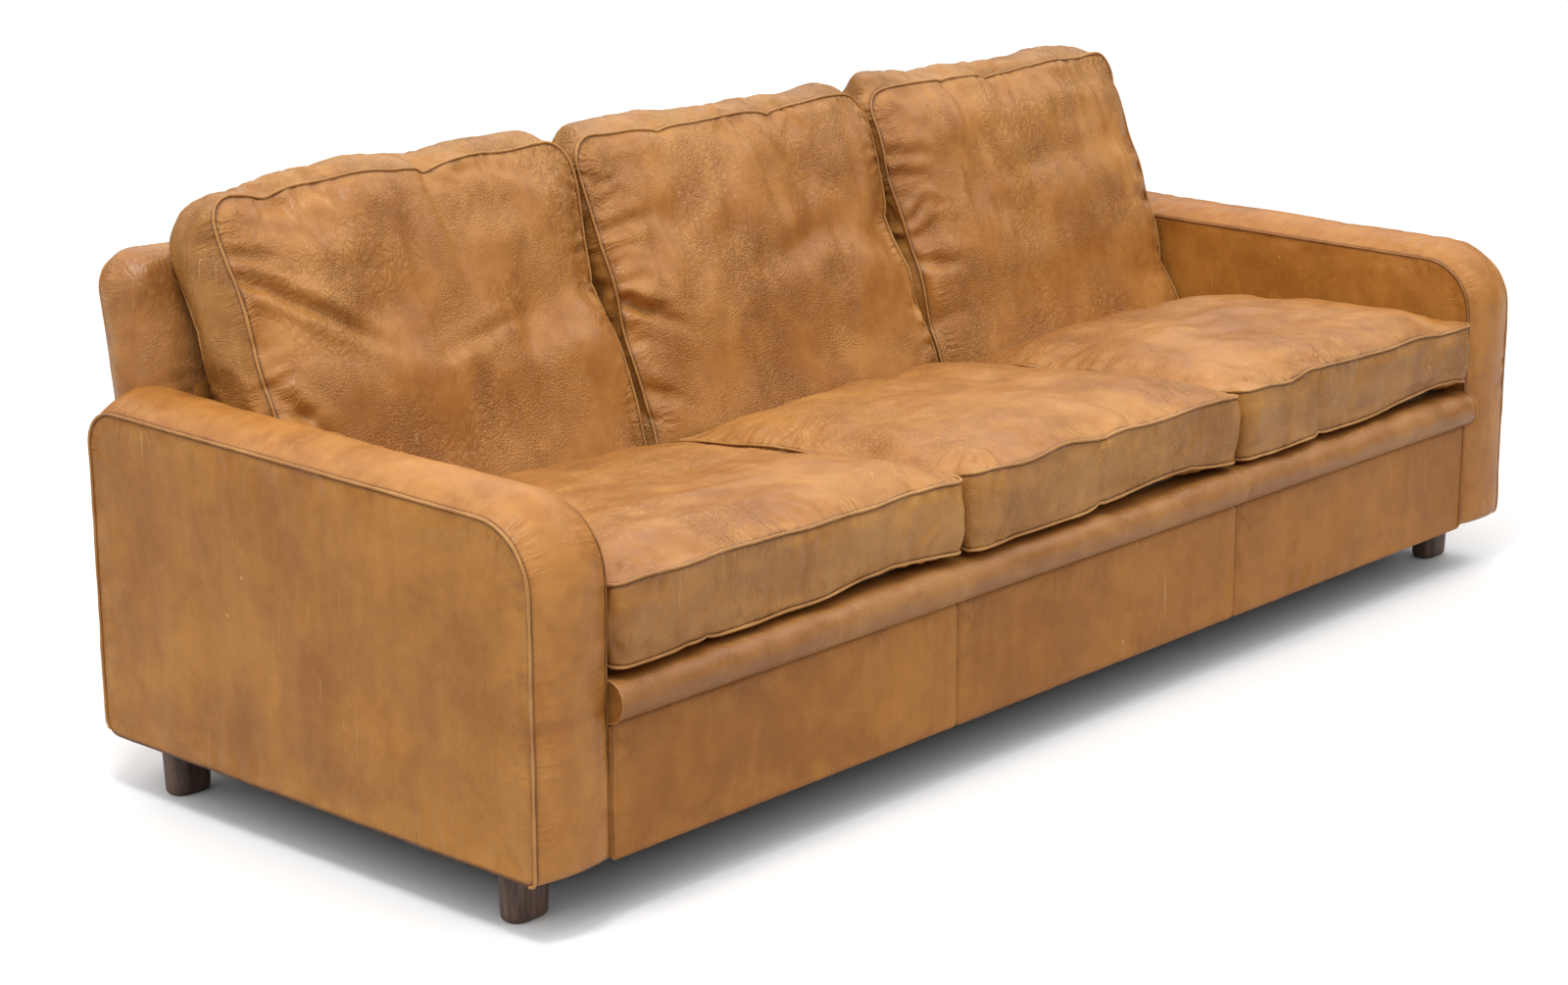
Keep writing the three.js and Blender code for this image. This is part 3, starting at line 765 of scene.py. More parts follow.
class NodeDesk:
    """Places shader nodes in one tree and wires them as it goes."""

    def __init__(self, tree: bpy.types.NodeTree) -> None:
        """Starts on an empty tree."""
        self.tree = tree
        tree.nodes.clear()

    def place(self, kind: str, **settings: object) -> bpy.types.Node:
        """Adds a node of a kind and sets its properties."""
        node = self.tree.nodes.new(kind)
        for key, value in settings.items():
            setattr(node, key, value)
        return node

    def feed(self, socket: bpy.types.NodeSocket, value: object) -> None:
        """Wires a socket into an input, or sets the input to a plain value."""
        if isinstance(value, bpy.types.NodeSocket):
            self.tree.links.new(value, socket)
        elif isinstance(value, tuple) and len(value) == 3 and socket.type == "RGBA":
            socket.default_value = (*value, 1.0)
        else:
            socket.default_value = value

    def maths(self, operation: str, first: object, second: object = 0.0, third: object = 0.0) -> object:
        """One Math node."""
        node = self.place("ShaderNodeMath", operation=operation)
        for socket, value in zip(node.inputs, (first, second, third)):
            self.feed(socket, value)
        return node.outputs[0]

    def vector_maths(self, operation: str, first: object, second: object) -> object:
        """One Vector Math node."""
        node = self.place("ShaderNodeVectorMath", operation=operation)
        self.feed(node.inputs[0], first)
        self.feed(node.inputs[1], second)
        return node.outputs[0]

    def remap(self, value: object, start: float, end: float, low: float = 0.0, high: float = 1.0) -> object:
        """A smooth, clamped change of range."""
        node = self.place("ShaderNodeMapRange", interpolation_type="SMOOTHSTEP")
        for socket, number in zip(node.inputs, (value, start, end, low, high)):
            self.feed(socket, number)
        return node.outputs[0]

    def noise(self, vector: object, scale: float, detail: float = 2.0, rough: float = 0.5,
              warp: float = 0.0) -> object:
        """One Noise Texture's factor."""
        node = self.place("ShaderNodeTexNoise")
        self.feed(node.inputs["Vector"], vector)
        for key, value in (("Scale", scale), ("Detail", detail), ("Roughness", rough), ("Distortion", warp)):
            node.inputs[key].default_value = value
        return node.outputs["Fac"]

    def cells(self, vector: object, scale: float, feature: str = "F1") -> object:
        """One Voronoi Texture's distance."""
        node = self.place("ShaderNodeTexVoronoi", feature=feature)
        self.feed(node.inputs["Vector"], vector)
        node.inputs["Scale"].default_value = scale
        return node.outputs["Distance"]

    def stretch(self, vector: object, scale: tuple[float, float, float],
                turn: tuple[float, float, float] = (0.0, 0.0, 0.0)) -> object:
        """A Mapping node that turns and stretches a pattern."""
        node = self.place("ShaderNodeMapping")
        self.feed(node.inputs["Vector"], vector)
        node.inputs["Scale"].default_value = scale
        node.inputs["Rotation"].default_value = turn
        return node.outputs[0]

    def blend(self, factor: object, first: object, second: object, mode: str = "MIX") -> object:
        """Mixes two colours."""
        node = self.place("ShaderNodeMix", data_type="RGBA", blend_type=mode)
        self.feed(node.inputs[0], factor)
        self.feed(node.inputs[6], first)
        self.feed(node.inputs[7], second)
        return node.outputs[2]

    def bump(self, height: object, distance: float, strength: float) -> object:
        """One Bump node's normal."""
        node = self.place("ShaderNodeBump")
        node.inputs["Distance"].default_value = distance
        node.inputs["Strength"].default_value = strength
        self.feed(node.inputs["Height"], height)
        return node.outputs[0]


def group_tree(name: str, inputs: dict[str, str], outputs: dict[str, str]) -> tuple[NodeDesk, object, object]:
    """Starts a shader node group.

    Args:
        name: the group's name.
        inputs: socket names and kinds.
        outputs: socket names and kinds.

    Returns:
        The desk for its tree, its input node and its output node.
    """
    tree = bpy.data.node_groups.new(name, "ShaderNodeTree")
    for direction, sockets in (("INPUT", inputs), ("OUTPUT", outputs)):
        for key, kind in sockets.items():
            tree.interface.new_socket(key, in_out=direction, socket_type=f"NodeSocket{kind}")
    desk = NodeDesk(tree)
    return desk, desk.place("NodeGroupInput"), desk.place("NodeGroupOutput")


class SharedEffects:
    """The node groups that several finishes use, each built once."""

    def __init__(self) -> None:
        """Builds every group."""
        self.patina = self._patina()
        self.creases = self._creases()
        self.gathers = self._gathers()
        self.grain = self._grain()
        self.weave = self._weave()

    def _patina(self) -> bpy.types.NodeTree:
        """Cloudy wear of aniline leather: three sizes of soft clouds, streaks, rare pale specks and pale
        scratches.
        """
        desk, given, result = group_tree("leather_patina", {"Vector": "Vector"},
                                         {"Tone": "Float", "Pale": "Float", "Marks": "Float"})
        place = given.outputs["Vector"]
        wide = desk.noise(place, 4.2, 3.0, 0.55, 0.6)
        middle = desk.noise(place, 15.0, 4.0, 0.55, 0.8)
        fine = desk.noise(place, 70.0, 4.0, 0.6)
        streaks = desk.noise(desk.stretch(place, (34.0, 34.0, 5.0)), 1.0, 3.0, 0.6, 0.3)
        tone = desk.maths("MULTIPLY", wide, 0.42)
        tone = desk.maths("MULTIPLY_ADD", middle, 0.30, tone)
        tone = desk.maths("MULTIPLY_ADD", fine, 0.13, tone)
        tone = desk.maths("MULTIPLY_ADD", streaks, 0.15, tone)
        desk.feed(result.inputs["Tone"], desk.remap(tone, 0.30, 0.70))
        specks = desk.cells(place, 26.0)
        rare = desk.remap(desk.noise(place, 9.0, 1.0), 0.64, 0.68)
        speck = desk.maths("MULTIPLY", desk.remap(specks, 0.035, 0.075, 1.0, 0.0), rare)
        desk.feed(result.inputs["Pale"], speck)
        scratches = desk.noise(desk.stretch(place, (260.0, 260.0, 9.0), (0.5, 0.9, 0.3)), 1.0, 2.0, 0.5, 0.4)
        scuffed = desk.remap(desk.noise(place, 5.5, 2.0), 0.52, 0.66)
        desk.feed(result.inputs["Marks"], desk.maths("MULTIPLY", desk.remap(scratches, 0.66, 0.74), scuffed))
        return desk.tree

    def _creases(self) -> bpy.types.NodeTree:
        """A net of fine creases in worn patches: warped cell edges in two sizes."""
        desk, given, result = group_tree("leather_creases", {"Vector": "Vector", "Amount": "Float"},
                                         {"Height": "Float", "Line": "Float"})
        place = given.outputs["Vector"]
        warp = desk.place("ShaderNodeTexNoise")
        desk.feed(warp.inputs["Vector"], place)
        warp.inputs["Scale"].default_value = 22.0
        warp.inputs["Detail"].default_value = 3.0
        shift = desk.vector_maths("SUBTRACT", warp.outputs["Color"], (0.5, 0.5, 0.5))
        bent = desk.vector_maths("ADD", place, desk.vector_maths("MULTIPLY", shift, (0.03, 0.03, 0.03)))
        wide = desk.cells(desk.stretch(bent, (1.0, 1.0, 0.6)), 92.0, "DISTANCE_TO_EDGE")
        fine = desk.cells(desk.stretch(bent, (0.8, 0.8, 1.2), (0.3, 0.2, 0.1)), 230.0, "DISTANCE_TO_EDGE")
        worn = desk.remap(desk.noise(place, 6.0, 3.0), 0.46, 0.68)
        worn_fine = desk.remap(desk.noise(place, 9.0, 3.0), 0.40, 0.62)
        line_wide = desk.maths("MULTIPLY", desk.remap(wide, 0.0, 0.3, 1.0, 0.0), worn)
        line_fine = desk.maths("MULTIPLY", desk.remap(fine, 0.0, 0.3, 1.0, 0.0), worn_fine)
        line = desk.maths("MULTIPLY_ADD", line_fine, 0.5, desk.maths("MULTIPLY", line_wide, 0.58))
        line = desk.maths("MULTIPLY", line, given.outputs["Amount"])
        desk.feed(result.inputs["Line"], line)
        desk.feed(result.inputs["Height"], desk.maths("SUBTRACT", 1.0, line))
        return desk.tree

    def _gathers(self) -> bpy.types.NodeTree:
        """Fine puckers square to a seam, and painted shade darkening the seam itself."""
        desk, given, result = group_tree("seam_gathers", {"Seam": "Vector"},
                                         {"Height": "Float", "Dirt": "Float", "Wear": "Float"})
        seam = given.outputs["Seam"]
        parts = desk.place("ShaderNodeSeparateXYZ")
        desk.feed(parts.inputs[0], seam)
        distance = parts.outputs["Z"]
        lines = desk.noise(desk.stretch(seam, (150.0, 150.0, 22.0)), 1.0, 2.0, 0.5, 0.5)
        patch = desk.remap(desk.noise(desk.stretch(seam, (7.0, 7.0, 12.0)), 1.0, 1.0), 0.45, 0.62)
        near = desk.maths("MULTIPLY", desk.remap(distance, 0.004, 0.055, 1.0, 0.0), patch)
        desk.feed(result.inputs["Height"], desk.maths("MULTIPLY", lines, near))
        # Painted shade: a dark band in the first few millimetres beside the seam, where its groove would be
        # in shade.
        desk.feed(result.inputs["Dirt"], desk.remap(distance, 0.001, 0.0065, 1.0, 0.0))
        fall = desk.remap(distance, 0.016, 0.045, 1.0, 0.0)
        hump = desk.maths("MULTIPLY", desk.remap(distance, 0.004, 0.012), fall)
        rubbed = desk.remap(desk.noise(desk.stretch(seam, (22.0, 22.0, 30.0)), 1.0, 2.0), 0.42, 0.66)
        desk.feed(result.inputs["Wear"], desk.maths("MULTIPLY", hump, rubbed))
        return desk.tree

    def _grain(self) -> bpy.types.NodeTree:
        """Pebbled pores of a full-grain hide."""
        desk, given, result = group_tree("leather_grain", {"Vector": "Vector"}, {"Height": "Float"})
        place = given.outputs["Vector"]
        pores = desk.cells(place, 520.0)
        soft = desk.noise(place, 130.0, 3.0, 0.6)
        height = desk.maths("MULTIPLY_ADD", pores, -0.35, desk.maths("MULTIPLY", soft, 0.9))
        desk.feed(result.inputs["Height"], height)
        return desk.tree

    def _weave(self) -> bpy.types.NodeTree:
        """A plain weave from two crossed sets of fine waves, in object space."""
        desk, given, result = group_tree("plain_weave", {"Vector": "Vector", "Scale": "Float"},
                                         {"Height": "Float", "Thread": "Float"})
        parts = desk.place("ShaderNodeSeparateXYZ")
        desk.feed(parts.inputs[0], given.outputs["Vector"])
        turned = []
        for axis in ("X", "Y"):
            angle = desk.maths("MULTIPLY", parts.outputs[axis], given.outputs["Scale"])
            turned.append(desk.maths("ABSOLUTE", desk.maths("SINE", angle)))
        cross = desk.maths("MAXIMUM", turned[0], turned[1])
        fray = desk.noise(given.outputs["Vector"], 320.0, 2.0)
        desk.feed(result.inputs["Height"], desk.maths("MULTIPLY_ADD", fray, 0.4, cross))
        desk.feed(result.inputs["Thread"], cross)
        return desk.tree


@dataclass
class MaterialStart:
    """A new material with its Principled shader, ready to be wired."""

    material: bpy.types.Material
    desk: NodeDesk
    shader: bpy.types.Node
    place: bpy.types.NodeSocket

    @classmethod
    def named(cls, name: str) -> MaterialStart:
        """Starts a material whose shader is wired to its output and nothing else."""
        material = bpy.data.materials.new(name)
        material.use_nodes = True
        desk = NodeDesk(material.node_tree)
        shader = desk.place("ShaderNodeBsdfPrincipled")
        output = desk.place("ShaderNodeOutputMaterial")
        desk.feed(output.inputs["Surface"], shader.outputs[0])
        return cls(material, desk, shader, desk.place("ShaderNodeTexCoord").outputs["Object"])

    def dressed(self, colour: object, roughness: object, normal: object) -> bpy.types.Material:
        """Feeds the shader its colour, roughness and normal, and gives the material back."""
        for key, value in (("Base Color", colour), ("Roughness", roughness), ("Normal", normal)):
            self.desk.feed(self.shader.inputs[key], value)
        return self.material


def place_group(desk: NodeDesk, tree: bpy.types.NodeTree, **values: object) -> bpy.types.Node:
    """Puts a shared effect in a material with its own values."""
    node = desk.place("ShaderNodeGroup", node_tree=tree)
    for key, value in values.items():
        desk.feed(node.inputs[key], value)
    return node


@dataclass(frozen=True)
class LeatherFinish:
    """Waxed aniline leather that has been sat on: cloudy, creased and lighter where it is rubbed."""

    name: str
    dark: Colour = srgb(145, 90, 38)
    middle: Colour = srgb(168, 112, 52)
    light: Colour = srgb(190, 134, 70)
    pale: Colour = srgb(226, 188, 140)
    # The dark colour for dirt in the crease lines; beside the seams it is painted shade.
    dirt: Colour = srgb(74, 40, 18)
    roughness: float = 0.38
    gloss: float = 0.42
    creases: float = 0.6
    gathers: float = 0.6
    panel_tint: Colour = (1.0, 1.0, 1.0)
    band_tint: Colour = (1.0, 1.0, 1.0)
    # How strongly shade is painted beside the seams.
    seam_dirt: float = 0.75
    seamed: bool = True
    striped: bool = False

    def build(self, effects: SharedEffects) -> bpy.types.Material:
        """Makes the material.

        Args:
            effects: the shared node groups.

        Returns:
            The leather.
        """
        start = MaterialStart.named(self.name)
        desk, shader, place = start.desk, start.shader, start.place
        patina = place_group(desk, effects.patina, Vector=place)
        creases = place_group(desk, effects.creases, Vector=place, Amount=self.creases)
        grain = place_group(desk, effects.grain, Vector=place)
        tone = patina.outputs["Tone"]
        ramp = desk.place("ShaderNodeValToRGB")
        ramp.color_ramp.interpolation = "B_SPLINE"
        ramp.color_ramp.elements[0].color = (*self.dark, 1.0)
        ramp.color_ramp.elements[1].color = (*self.light, 1.0)
        ramp.color_ramp.elements.new(0.5).color = (*self.middle, 1.0)
        desk.feed(ramp.inputs[0], tone)
        colour = ramp.outputs[0]
        line = creases.outputs["Line"]
        colour = desk.blend(desk.maths("MULTIPLY", line, 0.26), colour, self.dirt)
        marks = desk.maths("MULTIPLY", patina.outputs["Marks"], 0.35)
        colour = desk.blend(marks, colour, self.pale)
        colour = desk.blend(desk.maths("MULTIPLY", patina.outputs["Pale"], 0.6), colour, self.pale)
        height = desk.maths("MULTIPLY_ADD", creases.outputs["Height"], 0.9,
                            desk.maths("MULTIPLY", grain.outputs["Height"], 0.35))
        if self.seamed:
            seam = desk.place("ShaderNodeAttribute", attribute_name="seam").outputs["Vector"]
            gathers = place_group(desk, effects.gathers, Seam=seam)
            # Painted light and shade: the panels and the band of a piece each get their own tint, standing in
            # for how differently their faces are lit.
            facing = desk.place("ShaderNodeAttribute", attribute_name="facing").outputs["Fac"]
            panel = desk.remap(desk.maths("ABSOLUTE", facing), 0.2, 0.8)
            painted_shading = desk.blend(panel, self.band_tint, self.panel_tint)
            colour = desk.blend(1.0, colour, painted_shading, "MULTIPLY")
            colour = desk.blend(desk.maths("MULTIPLY", gathers.outputs["Wear"], 0.35), colour, self.light)
            # Painted shade: the leather is darkened beside each seam, where its groove would be in shade.
            dirt = desk.maths("MULTIPLY", gathers.outputs["Dirt"], self.seam_dirt)
            colour = desk.blend(dirt, colour, self.dirt)
            height = desk.maths("MULTIPLY_ADD", gathers.outputs["Height"], 5.0 * self.gathers, height)
        if self.striped:
            strip = desk.place("ShaderNodeAttribute", attribute_name="strip").outputs["Fac"]
            colour = desk.blend(strip, colour, self.light)
        shader.inputs["IOR"].default_value = 1.45
        shader.inputs["Specular IOR Level"].default_value = self.gloss
        roughness = desk.maths("MULTIPLY_ADD", tone, 0.12, self.roughness - 0.06)
        roughness = desk.maths("MULTIPLY_ADD", line, -0.05, roughness)
        return start.dressed(colour, roughness, desk.bump(height, 0.0020, 0.75))


@dataclass(frozen=True)
class WoodFinish:
    """Wood with its grain along one axis: stained nearly black on the feet, raw on the frame."""

    name: str
    dark: Colour
    light: Colour
    roughness: float
    stretch: tuple[float, float, float] = (14.0, 14.0, 1.4)

    def build(self, effects: SharedEffects) -> bpy.types.Material:
        """Makes the material: stretched, warped noise as grain, and fine pores."""
        start = MaterialStart.named(self.name)
        desk, place = start.desk, start.place
        along = desk.stretch(place, self.stretch)
        rings = desk.noise(along, 3.0, 5.0, 0.6, 1.6)
        pores = desk.noise(desk.stretch(place, tuple(9.0 * part for part in self.stretch)), 4.0, 3.0, 0.6)
        share = desk.maths("MULTIPLY_ADD", pores, 0.45, desk.maths("MULTIPLY", rings, 0.75))
        colour = desk.blend(desk.remap(share, 0.42, 0.78), self.dark, self.light)
        roughness = desk.maths("MULTIPLY_ADD", pores, 0.16, self.roughness - 0.08)
        return start.dressed(colour, roughness, desk.bump(share, 0.0005, 0.5))


@dataclass(frozen=True)
class ClothFinish:
    """Woven or bonded cloth of one colour family."""

    name: str
    dark: Colour
    light: Colour
    threads: float = 2600.0
    roughness: float = 0.85

    def build(self, effects: SharedEffects) -> bpy.types.Material:
        """Makes the material: the shared weave over soft stains."""
        start = MaterialStart.named(self.name)
        desk, place = start.desk, start.place
        weave = place_group(desk, effects.weave, Vector=place, Scale=self.threads)
        stains = desk.noise(place, 9.0, 4.0, 0.6)
        share = desk.maths("MULTIPLY_ADD", weave.outputs["Thread"], 0.4, desk.maths("MULTIPLY", stains, 0.8))
        colour = desk.blend(desk.remap(share, 0.3, 0.95), self.dark, self.light)
        roughness = desk.maths("MULTIPLY_ADD", stains, 0.15, self.roughness - 0.07)
        return start.dressed(colour, roughness, desk.bump(weave.outputs["Height"], 0.0004, 0.6))


@dataclass(frozen=True)
class FoamFinish:
    """Upholstery foam or feather ticking, seen only inside the sofa."""

    name: str
    dark: Colour = srgb(196, 184, 140)
    light: Colour = srgb(228, 220, 184)

    def build(self, effects: SharedEffects) -> bpy.types.Material:
        """Makes the material: open cells and yellowed patches."""
        start = MaterialStart.named(self.name)
        desk, place = start.desk, start.place
        pores = desk.cells(place, 600.0)
        patches = desk.noise(place, 12.0, 4.0, 0.6)
        colour = desk.blend(desk.remap(patches, 0.3, 0.7), self.dark, self.light)
        roughness = desk.maths("MULTIPLY_ADD", patches, 0.1, 0.86)
        return start.dressed(colour, roughness, desk.bump(pores, 0.0006, 0.6))


@dataclass(frozen=True)
class SteelFinish:
    """Zinc-plated steel of the hidden bolts."""

    name: str
    dark: Colour = srgb(120, 124, 130)
    light: Colour = srgb(178, 182, 186)

    def build(self, effects: SharedEffects) -> bpy.types.Material:
        """Makes the material: spangled plating with dull spots."""
        start = MaterialStart.named(self.name)
        desk, place = start.desk, start.place
        spangle = desk.cells(place, 240.0)
        spots = desk.noise(place, 60.0, 3.0, 0.6)
        start.shader.inputs["Metallic"].default_value = 1.0
        colour = desk.blend(spangle, self.dark, self.light)
        roughness = desk.maths("MULTIPLY_ADD", spots, 0.25, 0.25)
        return start.dressed(colour, roughness, desk.bump(spots, 0.0002, 0.3))


class Finishes:
    """Every finish of the sofa, built once."""

    def __init__(self) -> None:
        """Builds the shared effects and the materials."""
        effects = SharedEffects()
        # The cover's side panels are painted darker and deeper in colour than its band, as shade.
        self.cover = LeatherFinish("cover_leather", creases=0.35, gathers=0.5, gloss=0.34,
                                   panel_tint=(0.94, 0.90, 0.69), band_tint=(1.02, 0.98, 0.94)).build(effects)
        # The cushions' boxing gets a slightly darker tint than their faces, as painted shade.
        self.cushion = LeatherFinish("cushion_leather", creases=0.9, gathers=0.9,
                                     band_tint=(0.93, 0.97, 1.0)).build(effects)
        self.back = LeatherFinish("back_leather", dark=srgb(134, 82, 38), middle=srgb(164, 110, 56),
                                  light=srgb(192, 140, 84), creases=0.7, gathers=1.0,
                                  roughness=0.36).build(effects)
        self.welt = LeatherFinish("welt_leather", dark=srgb(148, 96, 46), middle=srgb(174, 121, 62),
                                  light=srgb(198, 148, 88), creases=0.3, seamed=False).build(effects)
        self.cover_welt = LeatherFinish("cover_welt_leather", dark=srgb(122, 74, 32),
                                        middle=srgb(150, 98, 46), creases=0.2, seamed=False).build(effects)
        # The apron gets only faint painted shade beside its seams.
        self.apron = LeatherFinish("apron_leather", dark=srgb(140, 85, 32), middle=srgb(163, 104, 42),
                                   light=srgb(181, 122, 56), creases=0.35, gathers=0.35, seam_dirt=0.15,
                                   roughness=0.46, gloss=0.28, striped=True).build(effects)
        self.roll = LeatherFinish("roll_leather", dark=srgb(134, 84, 38), middle=srgb(156, 104, 52),
                                  light=srgb(174, 122, 66), creases=0.5, gathers=0.3, seamed=False,
                                  striped=True).build(effects)
        self.foot = WoodFinish("foot_wood", srgb(58, 42, 34), srgb(112, 84, 68), 0.42).build(effects)
        self.frame = WoodFinish("frame_wood", srgb(166, 124, 78), srgb(206, 168, 118), 0.7,
                                (1.4, 14.0, 14.0)).build(effects)
        self.deck = ClothFinish("deck_cloth", srgb(84, 66, 48), srgb(132, 108, 82)).build(effects)
        self.dust = ClothFinish("dust_cloth", srgb(18, 17, 17), srgb(44, 42, 41), 3600.0).build(effects)
        self.webbing = ClothFinish("webbing", srgb(92, 86, 74), srgb(176, 168, 148), 900.0).build(effects)
        self.foam = FoamFinish("foam").build(effects)
        self.steel = SteelFinish("steel").build(effects)


# ---------------------------------------------------------------- filling the soft pieces


@dataclass
class Stuffing:
    """Fills every soft piece in one cloth run.

    Each cover is blown up from inside while its seams hold their length, so the leather gathers along them.
    No vertex may end further from its start than the piece's cap. The slack is how much larger than its place
    the leather was cut, as a share.
    """

    frames: int = 18
    pressure: float = 4.0
    slack: float = 0.02
    looseness_steps: int = 8
    jobs: list[tuple[SewnPiece, float]] = field(default_factory=list)

    def add(self, piece: SewnPiece, cap: float) -> None:
        """Queues a piece.

        Args:
            piece: the piece, still coarse.
            cap: the furthest that a vertex may move.
        """
        self.jobs.append((piece, cap))

    def run(self) -> None:
        """Runs the cloth of every queued piece together, and keeps only the shapes."""
        if not self.jobs:
            return
        scene = bpy.context.scene
        scene.frame_start = 1
        scene.frame_end = self.frames
        for piece, _ in self.jobs:
            self._dress(piece)
        for frame_number in range(1, self.frames + 1):
            scene.frame_set(frame_number)
        graph = bpy.context.evaluated_depsgraph_get()
        results = [vertex_points(piece.object.evaluated_get(graph).data) for piece, _ in self.jobs]
        for (piece, cap), filled in zip(self.jobs, results):
            mesh = piece.object.data
            start = vertex_points(mesh)
            piece.object.modifiers.clear()
            piece.object.vertex_groups.clear()
            step = filled - start
            reach = np.linalg.norm(step, axis=1, keepdims=True)
            held = step * np.minimum(1.0, cap / np.maximum(reach, 1e-9))
            move_vertices(mesh, start + held)
            furthest = float(np.minimum(reach, cap).max()) / MM
            LOG.info("filled %s, moved %.1f mm at most", piece.name, furthest)
        scene.frame_set(1)

    def _dress(self, piece: SewnPiece) -> None:
        """Gives one piece its cloth settings, with unstretched seams held near their line."""
        grid = piece.grid
        count = len(grid.points)
        seams = np.zeros(count)
        seams[np.concatenate([grid.low_ring, grid.high_ring])] = 1.0
        roomy = smooth_step(grid.seam[:, 2], 0.0, 0.03)
        group_seams = piece.object.vertex_groups.new(name="seams")
        group_seams.add(np.flatnonzero(seams).tolist(), 0.35, "REPLACE")
        group_roomy = piece.object.vertex_groups.new(name="roomy")
        for level in range(1, self.looseness_steps + 1):
            chosen = np.flatnonzero(np.round(roomy * self.looseness_steps) == level)
            group_roomy.add(chosen.tolist(), level / self.looseness_steps, "REPLACE")
        cloth = piece.object.modifiers.new("filling", "CLOTH")
        settings = cloth.settings
        settings.quality = 4
        settings.mass = 0.35
        settings.tension_stiffness = 25.0
        settings.compression_stiffness = 25.0
        settings.shear_stiffness = 8.0
        settings.bending_stiffness = 0.8
        settings.use_pressure = True
        settings.uniform_pressure_force = self.pressure
        settings.effector_weights.gravity = 0.0
        settings.vertex_group_mass = "seams"
        settings.pin_stiffness = 0.8
        settings.vertex_group_shrink = "roomy"
        settings.shrink_min = 0.0
        settings.shrink_max = -self.slack
        cloth.collision_settings.use_collision = False
        cloth.collision_settings.use_self_collision = False
        cloth.point_cache.frame_start = 1
        cloth.point_cache.frame_end = self.frames


def sew_welts(piece: SewnPiece, welt: Welt, finish: bpy.types.Material,
              rings: Iterable[str] = ("low", "high"), words: tuple[str, str] = ("bottom", "top"),
              bare_foot: bool = False) -> list[bpy.types.Object]:
    """Sews a welt into one or both seams of a finished piece.

    Args:
        piece: the piece, already subdivided.
        welt: the welt's size.
        finish: its leather.
        rings: which seams get one.
        words: what the low and high seams are called.
        bare_foot: True where the form's lower edge has no welt.

    Returns:
        The welts.
    """
    across = piece.form.counts()[0]
    points = vertex_points(piece.object.data)
    normals = vertex_normals(piece.object.data)
    made = []
    for ring in rings:
        numbers = piece.grid.low_ring if ring == "low" else piece.grid.high_ring
        name = f"{piece.name}_welt_{words[0] if ring == 'low' else words[1]}"
        if bare_foot:
            # The ring starts with its lower edge, so this puts that edge last and then drops it.
            numbers = np.roll(numbers, -across)[:2 - across]
        made.append(welt.sweep(name, points[numbers], normals[numbers], finish, not bare_foot))
    return made


# ---------------------------------------------------------------- sub-assemblies


@dataclass
class Arm:
    """One boxy arm: two side panels, a crowned band between them, and piping along the band's edges."""

    side: Side
    crown_top: float = 24 * MM
    crown_end: float = 14 * MM
    rise: float = 11 * MM
    radii: tuple[float, float, float, float] = (6 * MM, 20 * MM, 45 * MM, 80 * MM)
    outer_welt: Welt = Welt(2.0 * MM, 0.3)
    inner_welt: Welt = Welt(1.3 * MM, 0.1)
    outer_crown: float = 3.5 * MM
    inner_crown: float = 1.2 * MM

    def form(self) -> BoxedForm:
        """The arm's form, laid out on its CAD leather."""
        low, high = SIDEWAYS.span(f"arm_leather_{self.side.word}")
        front, rear = low[0] + self.crown_end, high[0] - self.crown_end
        rear_top = high[1] - self.crown_top
        corners = [(front, low[1]), (rear, low[1]), (rear, rear_top), (front, rear_top - self.rise)]
        outline = Outline(corners, self.radii)
        crowns = (self.outer_crown, self.inner_crown)
        low_crown, high_crown = crowns if self.side is Side.LEFT else crowns[::-1]
        return BoxedForm(SIDEWAYS, outline, outline, low[2], high[2] - low[2], cell=0.011, band_rows=12,
                         low_crown=low_crown, high_crown=high_crown, crown_reach=0.05,
                         bulge=(self.crown_end, self.crown_end, self.crown_top, 0.0), wave=0.5 * MM,
                         seed=31 + self.side.value)

    def build(self, finishes: Finishes) -> None:
        """Builds the arm and its two welts."""
        piece = SewnPiece.make(f"arm_{self.side.word}", self.form(), finishes.cover)
        piece.crease_seams(0.9)
        subdivide(piece.object)
        piece.relief([], 0.8 * MM, 0.7 * MM, 40 + self.side.value)
        word = self.side.word
        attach(piece.object, "sofa_base")
        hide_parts(f"arm_leather_{word}", f"arm_padding_{word}")
        outer, inner = ("low", "high") if self.side is Side.LEFT else ("high", "low")
        words = ("outer", "inner") if self.side is Side.LEFT else ("inner", "outer")
        welts = sew_welts(piece, self.outer_welt, finishes.welt, (outer,), words, bare_foot=True)
        welts += sew_welts(piece, self.inner_welt, finishes.cover_welt, (inner,), words, bare_foot=True)
        for welt in welts:
            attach(welt, "sofa_base")
        LOG.info("built %s", piece.name)


